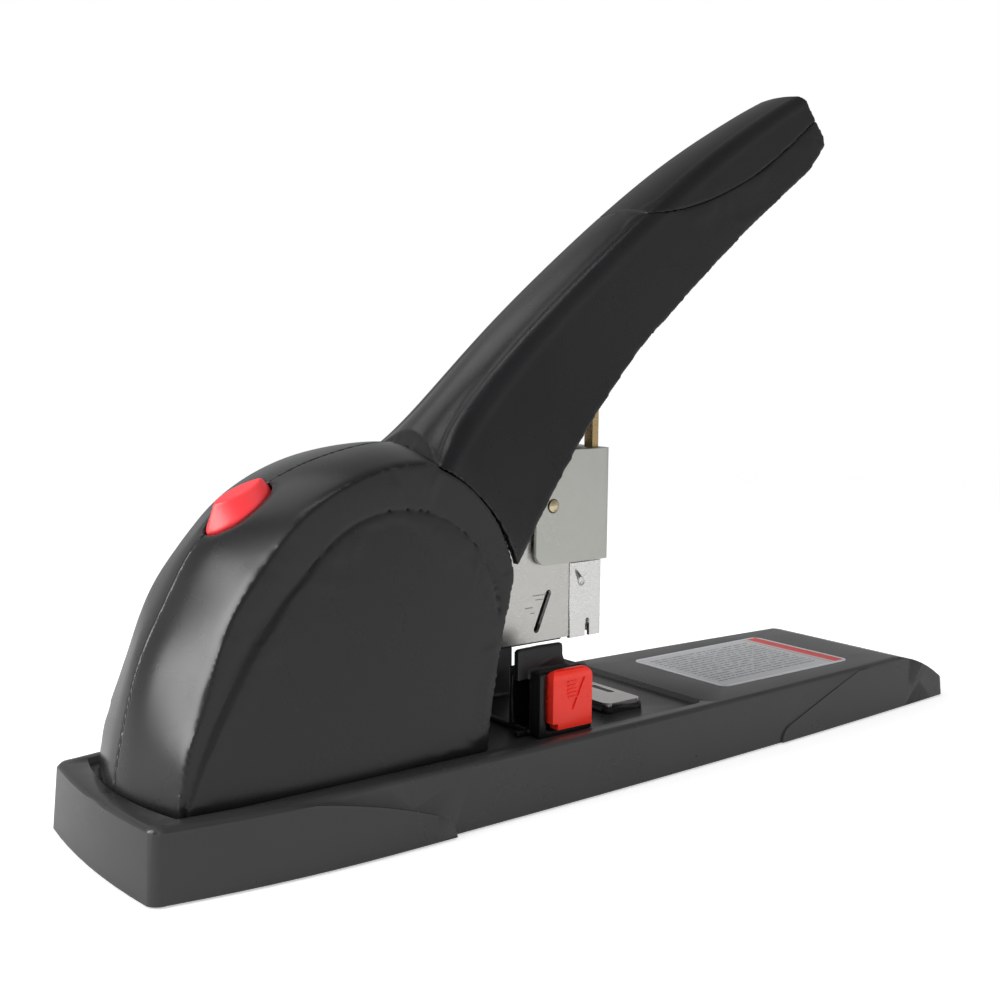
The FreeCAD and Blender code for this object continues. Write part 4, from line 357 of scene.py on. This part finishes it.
def settle(copy, node, finish, angle):
    """Shades a skin, gives it its finish, and puts it in the node's place."""
    bpy.ops.object.shade_smooth_by_angle(angle=math.radians(angle))
    copy.data.materials.clear()
    copy.data.materials.append(finish)
    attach(copy, frame["nodes"][node]["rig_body"])
    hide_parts(node)


def apply_modifier(copy, kind, **values):
    """Adds one modifier with these settings and applies it."""
    modifier = copy.modifiers.new(kind.lower(), kind)
    for key, value in values.items():
        setattr(modifier, key, value)
    bpy.ops.object.modifier_apply(modifier=modifier.name)


CRISP_ANGLE, CRISP_WEIGHT = 30, 90


def skin(node, finish):
    """A merged copy whose large faces stay flat and whose sharp edges stay sharp."""
    copy = merged_copy(node)
    settle(copy, node, finish, CRISP_ANGLE)
    apply_modifier(copy, "WEIGHTED_NORMAL", keep_sharp=True, weight=CRISP_WEIGHT)


# A sharp line runs on smoothly where the cosine of its bend is above the first value. No
# side's middle is lifted by more than the second value's share of its length.
SMOOTH_RUN = 0.8
MOST_BOW = 0.03
BOWED_ANGLES, BOWED_WEIGHT = (36, 24), 80
MOULDED_ANGLE = 50
EVENING_ROUNDS = 70


def side_bows(mesh):
    """The points and corners of a mesh and, for each side of each triangle, how far its
    middle lies under the smooth surface, with that side's mean normal."""
    count = len(mesh.loops)
    normals = np.empty(3 * count, np.float32)
    mesh.corner_normals.foreach_get("vector", normals)
    normals = normals.reshape(-1, 3)
    corners = np.empty(count, np.int32)
    mesh.loops.foreach_get("vertex_index", corners)
    points = np.empty(3 * len(mesh.vertices), np.float32)
    mesh.vertices.foreach_get("co", points)
    points = points.reshape(-1, 3)
    following = np.arange(count).reshape(-1, 3)[:, [1, 2, 0]].ravel()
    along = points[corners[following]] - points[corners]
    here, there = normals, normals[following]
    sink = -(along * here).sum(1, keepdims=True) * here + (along * there).sum(1, keepdims=True) * there
    mean = here + there
    mean /= np.maximum(np.linalg.norm(mean, axis=1, keepdims=True), 1e-9)
    return points, corners, (sink / 8 * mean).sum(1), mean


def crease_tangents(points, ends, sharp):
    """The direction of each sharp line where it runs smoothly through a point."""
    beside = {}
    for first, second in ends[sharp]:
        beside.setdefault(int(first), []).append(int(second))
        beside.setdefault(int(second), []).append(int(first))
    tangents = {}
    for point, others in beside.items():
        if len(others) != 2:
            continue
        back = points[point] - points[others[0]]
        ahead = points[others[1]] - points[point]
        back_size, ahead_size = np.linalg.norm(back), np.linalg.norm(ahead)
        if back @ ahead > SMOOTH_RUN * back_size * ahead_size:
            along = back / back_size**2 + ahead / ahead_size**2
            tangents[point] = along / np.linalg.norm(along)
    return tangents


def crease_lift(first, second, points, tangents):
    """How far the middle of one stretch of a sharp line lies off its chord."""
    span = points[second] - points[first]
    size = np.linalg.norm(span)
    course = span / size
    known = []
    for end in (first, second):
        along = tangents.get(end)
        if along is not None and along @ course < 0:
            along = -along
        known.append(along)
    leave, arrive = known
    if leave is None and arrive is None:
        return np.zeros(3)
    if leave is None:
        leave = 2 * (arrive @ course) * course - arrive
    if arrive is None:
        arrive = 2 * (leave @ course) * course - leave
    return size / 8 * (leave - arrive)


def bowed_out(copy, angle):
    """Halves every triangle side and lifts its middle to the smooth surface that the
    normals describe; a sharp line follows its own curve."""
    bpy.ops.object.shade_smooth_by_angle(angle=math.radians(angle))
    apply_modifier(copy, "WEIGHTED_NORMAL", keep_sharp=True, weight=BOWED_WEIGHT)
    mesh = copy.data
    points, corners, bow, mean = side_bows(mesh)
    edges = np.empty(len(mesh.loops), np.int32)
    mesh.loops.foreach_get("edge_index", edges)
    first = np.full(len(mesh.edges), -1)
    second = np.full(len(mesh.edges), -1)
    second[edges] = np.arange(len(edges))
    first[edges[::-1]] = np.arange(len(edges))[::-1]
    lift = (bow[first][:, None] * mean[first] + bow[second][:, None] * mean[second]) / 2
    ends = np.empty(2 * len(mesh.edges), np.int32)
    mesh.edges.foreach_get("vertices", ends)
    ends = ends.reshape(-1, 2)
    sharp = np.zeros(len(mesh.edges), bool)
    mesh.attributes["sharp_edge"].data.foreach_get("value", sharp)
    tangents = crease_tangents(points, ends, sharp)
    for edge in np.flatnonzero(sharp):
        lift[edge] = crease_lift(int(ends[edge][0]), int(ends[edge][1]), points, tangents)
    span = np.linalg.norm(points[ends[:, 0]] - points[ends[:, 1]], axis=1, keepdims=True)
    size = np.maximum(np.linalg.norm(lift, axis=1, keepdims=True), 1e-12)
    lift *= np.minimum(1, MOST_BOW * span / size)
    middles = (points[ends[:, 0]] + points[ends[:, 1]]) / 2 + lift
    middle = edges.reshape(-1, 3) + len(points)
    corner = corners.reshape(-1, 3)
    faces = np.concatenate([
        np.stack([corner[:, 0], middle[:, 0], middle[:, 2]], 1),
        np.stack([corner[:, 1], middle[:, 1], middle[:, 0]], 1),
        np.stack([corner[:, 2], middle[:, 2], middle[:, 1]], 1),
        middle,
    ])
    mesh.clear_geometry()
    mesh.from_pydata(np.concatenate([points, middles]).tolist(), [], faces.tolist())


def evened(copy, rounds, chosen):
    """Smooths out the last facets of the points that a test chooses, and no others."""
    group = copy.vertex_groups.new(name="evened")
    group.add([point.index for point in copy.data.vertices if chosen(point)], 1.0, "REPLACE")
    apply_modifier(copy, "SMOOTH", factor=0.5, iterations=rounds, vertex_group="evened")
    copy.vertex_groups.clear()


def moulded_skin(node, finish, cell, rounds, crowned=None):
    """A copy with an even fine mesh and softly rounded edges, for moulded pieces."""
    copy = merged_copy(node)
    for angle in BOWED_ANGLES:
        bowed_out(copy, angle)
    apply_modifier(copy, "REMESH", mode="VOXEL", voxel_size=cell, adaptivity=0)
    apply_modifier(copy, "SMOOTH", factor=0.5, iterations=rounds)
    if crowned:
        evened(copy, EVENING_ROUNDS, crowned)
    settle(copy, node, finish, MOULDED_ANGLE)


def dress(node, finish):
    """A CAD node that stays as it is, in its own finish."""
    piece = frame["nodes"][node]
    piece.data.materials.clear()
    piece.data.materials.append(finish)


satin_black = moulded_plastic(
    "satin_black_moulding", (0.026, 0.026, 0.027), (0.036, 0.036, 0.037), 0.25, 0.33, 3500, 0.0007
)
skin("base_shell", satin_black)


# Bottom plate and feet: a zinc-plated sheet held by six screws, with soft pads under the
# base. They are only seen from below.
PALER, DARKER = 1.12, 0.86
LINE_SCALE, LINE_STRENGTH, LINE_DEPTH = 900, 0.05, 0.00001


def plated_steel(name, tone, roughness, stretch, spread=0.06):
    """Sheet or turned steel with fine lines along one direction and faint handling marks."""
    material, tree, shader = fresh_material(name)
    where = tree.nodes.new("ShaderNodeTexCoord")
    scale = add_node(tree, "ShaderNodeMapping")
    scale.inputs["Scale"].default_value = stretch
    lines = add_node(tree, "ShaderNodeTexNoise")
    lines.inputs["Scale"].default_value = LINE_SCALE
    lines.inputs["Detail"].default_value = 3
    cloud = use_group(tree, MOULDING, grain=2000, cloud=70)
    tree.links.new(where.outputs["Object"], scale.inputs["Vector"])
    tree.links.new(scale.outputs["Vector"], lines.inputs["Vector"])
    pale = tuple(min(1, part * PALER) for part in tone)
    dark = tuple(part * DARKER for part in tone)
    tree.links.new(blended(tree, cloud.outputs["Cloudiness"], dark, pale), shader.inputs["Base Color"])
    shader.inputs["Metallic"].default_value = 1
    fine = ranged(tree, lines.outputs["Fac"], roughness - spread, roughness + spread)
    broad = ranged(tree, cloud.outputs["Cloudiness"], -0.05, 0.05)
    tree.links.new(math_node(tree, "ADD", fine, broad), shader.inputs["Roughness"])
    normal = fine_bump(tree, lines.outputs["Fac"], LINE_STRENGTH, LINE_DEPTH)
    tree.links.new(normal, shader.inputs["Normal"])
    return material


zinc = plated_steel("zinc_plated_sheet", (0.56, 0.57, 0.58), 0.36, (1, 1, 1))
screw_steel = plated_steel("screw_steel", (0.5, 0.5, 0.51), 0.3, (1, 1, 6))
dress("bottom_plate", zinc)
dress("plate_screws", screw_steel)
rubber = moulded_plastic(
    "soft_feet", (0.03, 0.03, 0.031), (0.05, 0.05, 0.052), 0.7, 0.85, 2200, 0.0004
)
dress("rubber_feet", rubber)

# Anvil: a bright plate of ground and hardened steel on a matt black seat in the deck. Two
# thin matt black plates sit in its two grooves as painted shade, so that the grooves that fold the
# staples' legs look dark.
anvil_steel = plated_steel("ground_anvil_steel", (0.9, 0.87, 0.84), 0.34, (1, 9, 1))
matt_black = moulded_plastic(
    "matt_black_moulding", (0.006, 0.006, 0.0065), (0.009, 0.009, 0.0095), 0.34, 0.44, 3000, 0.0004
)
skin("anvil_pad", matt_black)
skin("anvil_plate", anvil_steel)


def solid_block(name, middle, size, finish, body=None, rounding=0.0):
    """A small block shaped at its place, with softened edges where it has a rounding."""
    nothing_selected()
    bpy.ops.mesh.primitive_cube_add(size=1, location=middle, scale=size)
    bpy.ops.object.transform_apply(location=True, rotation=True, scale=True)
    block = bpy.context.object
    block.name = name
    if rounding:
        apply_modifier(block, "BEVEL", width=rounding, segments=3)
    block.data.materials.append(finish)
    if body:
        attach(block, body)
    return block


# Painted shade: thin dark plates laid just under the anvil's top, in its two grooves, where only shade
# falls.
GROOVE_SHADE_SIZE = (0.0022, 0.0085, 0.0002)
GROOVE_SHADE_DROP = 0.00016
GROOVE_SHADE_EDGE = 0.00005
GROOVE_SHADE_PLATES = (("anvil_groove_shade_rear", 0.0032, 0.0027), ("anvil_groove_shade_front", 0.0102, -0.0027))
plate_low, plate_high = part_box("anvil_plate")
for name, forward, aside in GROOVE_SHADE_PLATES:
    groove_shade_middle = (plate_low[0] + forward, aside, plate_high[2] - GROOVE_SHADE_DROP)
    solid_block(name, groove_shade_middle, GROOVE_SHADE_SIZE, matt_black, "base", GROOVE_SHADE_EDGE)

# Frame and its screws: a channel bent from zinc-plated sheet that stands inside the hood
# and is screwed to the base. It is seen only at the back of the head.
dress("main_frame", zinc)
dress("frame_screws", screw_steel)
dress("hood_foot_screws", screw_steel)

# Hood: two halves of black plastic, moulded deeper in tone and smoother than the base. They
# meet along the middle and are held together by cross screws.
hood_black = moulded_plastic(
    "hood_moulding", (0.009, 0.009, 0.0098), (0.013, 0.013, 0.014), 0.24, 0.3, 4200, 0.0008
)
FACING_SIDEWAYS = 0.9
BESIDE_PARTING = 0.0012
ABOVE_FOOT = 0.021


def on_crown(point):
    """True on the rounded back and top, clear of the parting line, the rim and the foot."""
    rounded = abs(point.normal.y) < FACING_SIDEWAYS
    return rounded and abs(point.co.y) > BESIDE_PARTING and point.co.z > ABOVE_FOOT


for half in ("hood_right", "hood_left"):
    moulded_skin(half, hood_black, 0.00052, 3, crowned=on_crown)
dress("hood_cross_screws", screw_steel)

# Release button: a leaf of glossy red plastic let into the hood's back, coloured right
# through. Pushing it tips the latch that holds the drawer.
gloss_red = moulded_plastic(
    "gloss_red_moulding", (0.9, 0.04, 0.05), (0.95, 0.05, 0.06), 0.3, 0.38, 5000, 0.0005, 0.05
)
moulded_skin("release_button", gloss_red, 0.0003, 14)

# Handle: a long hollow arm of the hood's black plastic, with a softer cap on its end. An
# underside cover and screws close it from below.
moulded_skin("handle_shell", hood_black, 0.0006, 2)
cap_black = moulded_plastic(
    "cap_moulding", (0.008, 0.008, 0.0085), (0.011, 0.011, 0.012), 0.3, 0.38, 3000, 0.0006
)
moulded_skin("handle_grip_cap", cap_black, 0.00045, 2)
skin("handle_underside_cover", matt_black)
dress("grip_screws", screw_steel)
dress("lever_screws", screw_steel)

# Lever, hinge pins and rings: the steel that turns inside the handle. The lever is bent
# sheet, and the pins are turned and kept in place by rings.
spring_steel = plated_steel("spring_steel", (0.38, 0.38, 0.39), 0.3, (1, 1, 1))
pin_steel = plated_steel("turned_pin_steel", (0.52, 0.52, 0.53), 0.24, (1, 8, 1))
skin("handle_lever", zinc)
dress("handle_hinge_pins", pin_steel)
dress("retaining_rings", spring_steel)

# Magazine: a folded channel of bright plated sheet with a black liner strip under it. Its
# studs run in the frame's slots, and the latch rocks on a pin.
bright_sheet = plated_steel("bright_sheet", (0.7, 0.69, 0.66), 0.3, (1, 1, 7))
skin("magazine_channel", bright_sheet)
skin("magazine_liner", matt_black)
dress("head_guide_studs", pin_steel)
dress("magazine_latch", spring_steel)
dress("latch_pin", pin_steel)

# Drawer: a bright rail with the nose piece on its end, which slides out for loading. It
# carries the rod, the stick of staples and the pusher.
nose_sheet = plated_steel("nose_sheet", (0.92, 0.91, 0.88), 0.26, (1, 1, 7))
skin("nose_piece", nose_sheet)
dress("staple_rail", bright_sheet)
dress("pusher_guide_rod", pin_steel)
staple_wire = plated_steel("galvanised_wire", (0.62, 0.63, 0.64), 0.28, (1, 1, 1))
dress("staples", staple_wire)
dress("staple_pusher", matt_black)

# Driver: a folded steel sleeve that slides on the head, with brass rivets and a strut that
# the lever presses. Its block carries the blade that drives the staple.
sleeve_sheet = plated_steel("satin_sleeve_sheet", (0.6, 0.6, 0.56), 0.33, (1, 1, 7))
skin("driver_sleeve", sleeve_sheet)
skin("driver_block", zinc)
dress("driver_blade", anvil_steel)
yellow_zinc = plated_steel("yellow_passivated_steel", (0.55, 0.4, 0.2), 0.3, (1, 1, 5))
skin("driver_strut", yellow_zinc)
brass = plated_steel("turned_brass", (0.82, 0.7, 0.46), 0.16, (1, 1, 1), 0.03)
moulded_skin("driver_rivets", brass, 0.00012, 3)

# Paper guide: a matt black saddle that slides on the deck and has a fence for the paper.
# Two red catch buttons, one on each side, let it go.
moulded_skin("paper_guide", matt_black, 0.0004, 2)
catch_red = moulded_plastic(
    "catch_red_moulding", (0.9, 0.03, 0.016), (0.95, 0.04, 0.022), 0.24, 0.34, 4500, 0.0005, 0.05
)


def cut_with(body, tool, operation):
    """One boolean step, after which the tool is gone."""
    nothing_selected()
    bpy.context.view_layer.objects.active = body
    apply_modifier(body, "BOOLEAN", operation=operation, solver="EXACT", object=tool)
    bpy.data.objects.remove(tool)


BUTTON_DEPTH = 0.0034
CORNER_ROUNDING, CORNER_SEGMENTS = 0.0024, 8
EDGE_ROUNDING, EDGE_SEGMENTS, EDGE_ANGLE = 0.0006, 4, 0.7
NOTCH = 0.0017
CUTTER_DEPTH = 0.002
RECESS_WIDTH, RECESS_HEIGHT, RECESS_DEPTH = 0.0084, 0.0086, 0.0004
RECESS_DROP = 0.0026
RIBS, RIB_PITCH, FIRST_RIB = 5, 0.00105, 0.0008
RIB_SIZE = (0.0032, 0.0006, 0.00045)
RIB_EDGE = 0.0001
SAME_PLACE = 1e-5
BUTTONS = (("guide_button_right", -1, "right_button"), ("guide_button_left", 1, "left_button"))
for node, side, body in BUTTONS:
    low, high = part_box(node)
    face = low[1] if side < 0 else high[1]
    middle = (low[0] + high[0]) / 2
    top = high[2]
    button = solid_block(
        node + "_cap",
        (middle, face - side * BUTTON_DEPTH / 2, (low[2] + high[2]) / 2),
        (high[0] - low[0], BUTTON_DEPTH, high[2] - low[2]),
        catch_red,
    )
    bpy.ops.object.mode_set(mode="EDIT")
    bpy.ops.mesh.select_all(action="DESELECT")
    bpy.ops.object.mode_set(mode="OBJECT")
    for edge in button.data.edges:
        ends = [button.data.vertices[end].co for end in edge.vertices]
        at_top = all(abs(end.z - top) < SAME_PLACE for end in ends)
        edge.select = at_top and abs(ends[0].x - ends[1].x) < SAME_PLACE
    bpy.ops.object.mode_set(mode="EDIT")
    bpy.ops.mesh.bevel(offset=CORNER_ROUNDING, segments=CORNER_SEGMENTS, affect="EDGES")
    bpy.ops.object.mode_set(mode="OBJECT")
    notch = solid_block("notch", (low[0], face, low[2]), (2 * NOTCH, 0.02, 2 * NOTCH), catch_red)
    cut_with(button, notch, "DIFFERENCE")
    apply_modifier(
        button, "BEVEL", width=EDGE_ROUNDING, segments=EDGE_SEGMENTS,
        limit_method="ANGLE", angle_limit=EDGE_ANGLE,
    )
    nothing_selected()
    bpy.ops.mesh.primitive_cylinder_add(
        vertices=3, radius=1, depth=CUTTER_DEPTH, rotation=(-math.pi / 2, 0, 0),
        location=(
            middle,
            face + side * (CUTTER_DEPTH / 2 - RECESS_DEPTH),
            top - RECESS_DROP - RECESS_HEIGHT / 3,
        ),
        scale=(RECESS_WIDTH / math.sqrt(3), RECESS_HEIGHT / 1.5, 1),
    )
    recess = bpy.context.object
    cut_with(button, recess, "DIFFERENCE")
    for number in range(RIBS):
        height = top - RECESS_DROP - FIRST_RIB - number * RIB_PITCH
        rib_middle = (middle, face - side * RIB_SIZE[1] / 2, height)
        rib = solid_block("rib", rib_middle, RIB_SIZE, catch_red, rounding=RIB_EDGE)
        cut_with(button, rib, "UNION")
    nothing_selected()
    button.select_set(True)
    bpy.context.view_layer.objects.active = button
    bpy.ops.object.shade_smooth_by_angle(angle=math.radians(35))
    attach(button, body)
    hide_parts(node)

# Springs: coils of drawn steel wire that push the handle, the head, the staples and the
# buttons back. They are seen only through the gaps of the mechanism.
for spring in ("head_return_spring", "handle_return_springs", "pusher_spring", "release_spring",
               "guide_spring_right", "guide_spring_left"):
    dress(spring, spring_steel)

# Chart: a thin printed metal plate let into the deck. A bare border frames rows of plain
# marks, with a red line and a red band at its front. It carries no lettering.
PRINT_BORDER = 0.0012
BAND_WIDTH = 0.0045
LINE_GAP, LINE_HALF_WIDTH = 0.0016, 0.00022
ROWS_SHIFT, ROWS_MARGIN, ROWS_SIDE_MARGIN = 0.003, 0.0065, 0.0042
ROW_PITCH, ROW_SHARE = 0.0021, 0.45
MARK_STRETCH, MARK_LEVEL = (1100, 420, 1), 0.44
BARE_METAL = 0.6


def printed_chart(low, high):
    """A plate whose print is worked out from each point's distance to its middle."""
    material, tree, shader = fresh_material("printed_chart")
    where = tree.nodes.new("ShaderNodeTexCoord")
    parts = tree.nodes.new("ShaderNodeSeparateXYZ")
    tree.links.new(where.outputs["Object"], parts.inputs[0])
    centre = [(a + b) / 2 for a, b in zip(low, high)]
    half = [(b - a) / 2 for a, b in zip(low, high)]
    along = math_node(tree, "SUBTRACT", parts.outputs["X"], centre[0])
    across = math_node(tree, "SUBTRACT", parts.outputs["Y"], centre[1])

    def within(value, reach):
        return math_node(tree, "LESS_THAN", math_node(tree, "ABSOLUTE", value, 0.0), reach)

    def both(first, second):
        return math_node(tree, "MULTIPLY", first, second)

    def painted(mask, under, colour):
        over = tree.nodes.new("ShaderNodeMix")
        over.data_type = "RGBA"
        tree.links.new(mask, over.inputs["Factor"])
        tree.links.new(under, over.inputs["A"])
        over.inputs["B"].default_value = (*colour, 1)
        return over.outputs["Result"]

    panel = both(within(along, half[0] - PRINT_BORDER), within(across, half[1] - PRINT_BORDER))
    band_start = half[0] - PRINT_BORDER - BAND_WIDTH
    band = both(panel, math_node(tree, "GREATER_THAN", along, band_start))
    behind = math_node(tree, "SUBTRACT", along, band_start - LINE_GAP)
    line = both(panel, within(behind, LINE_HALF_WIDTH))
    from_rows = math_node(tree, "ADD", along, ROWS_SHIFT)
    beside_rows = within(across, half[1] - ROWS_SIDE_MARGIN)
    rows = both(within(from_rows, half[0] - ROWS_MARGIN), beside_rows)
    ruling = math_node(tree, "FRACT", math_node(tree, "DIVIDE", across, ROW_PITCH), 0.0)
    on_row = math_node(tree, "LESS_THAN", ruling, ROW_SHARE)
    dashes = tree.nodes.new("ShaderNodeTexNoise")
    dashes.inputs["Scale"].default_value = 1
    dashes.inputs["Detail"].default_value = 1
    stretch = tree.nodes.new("ShaderNodeMapping")
    stretch.inputs["Scale"].default_value = MARK_STRETCH
    tree.links.new(where.outputs["Object"], stretch.inputs["Vector"])
    tree.links.new(stretch.outputs["Vector"], dashes.inputs["Vector"])
    inked = math_node(tree, "GREATER_THAN", dashes.outputs["Fac"], MARK_LEVEL)
    marks = both(both(rows, on_row), inked)
    cloud = use_group(tree, MOULDING, grain=2000, cloud=60)
    border = blended(tree, cloud.outputs["Cloudiness"], (0.8, 0.8, 0.84), (0.88, 0.88, 0.92))
    colour = painted(panel, border, (0.5, 0.51, 0.52))
    colour = painted(marks, colour, (0.2, 0.2, 0.21))
    colour = painted(line, colour, (0.5, 0.08, 0.07))
    colour = painted(band, colour, (0.62, 0.035, 0.03))
    tree.links.new(colour, shader.inputs["Base Color"])
    tree.links.new(ranged(tree, cloud.outputs["Cloudiness"], 0.3, 0.4), shader.inputs["Roughness"])
    printed = math_node(tree, "MULTIPLY", panel, BARE_METAL)
    tree.links.new(math_node(tree, "SUBTRACT", BARE_METAL, printed), shader.inputs["Metallic"])
    return material


skin("staple_chart_label", printed_chart(*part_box("staple_chart_label")))

# Gauge marks: four fine lines printed on the channel beside its slot, with no figures. Each
# is given by its two ends along the stapler and its height.
mark_ink = moulded_plastic("gauge_ink", (0.2, 0.2, 0.19), (0.26, 0.26, 0.25), 0.4, 0.5, 2000, 0.0001)
CHANNEL_SIDE = -0.0082
MARK_DEPTH, MARK_THICKNESS, MARK_EDGE = 0.00016, 0.00022, 0.00003
GAUGE_MARKS = (
    (-0.022, -0.0174, 0.0504),
    (-0.021, -0.0184, 0.0492),
    (-0.0246, -0.022, 0.0472),
    (-0.0228, -0.0213, 0.0456),
)
for number, (start, end, height) in enumerate(GAUGE_MARKS):
    mark_middle = ((start + end) / 2, CHANNEL_SIDE, height)
    mark_size = (end - start, MARK_DEPTH, MARK_THICKNESS)
    name = "gauge_mark_%d" % (number + 1)
    solid_block(name, mark_middle, mark_size, mark_ink, "head", MARK_EDGE)
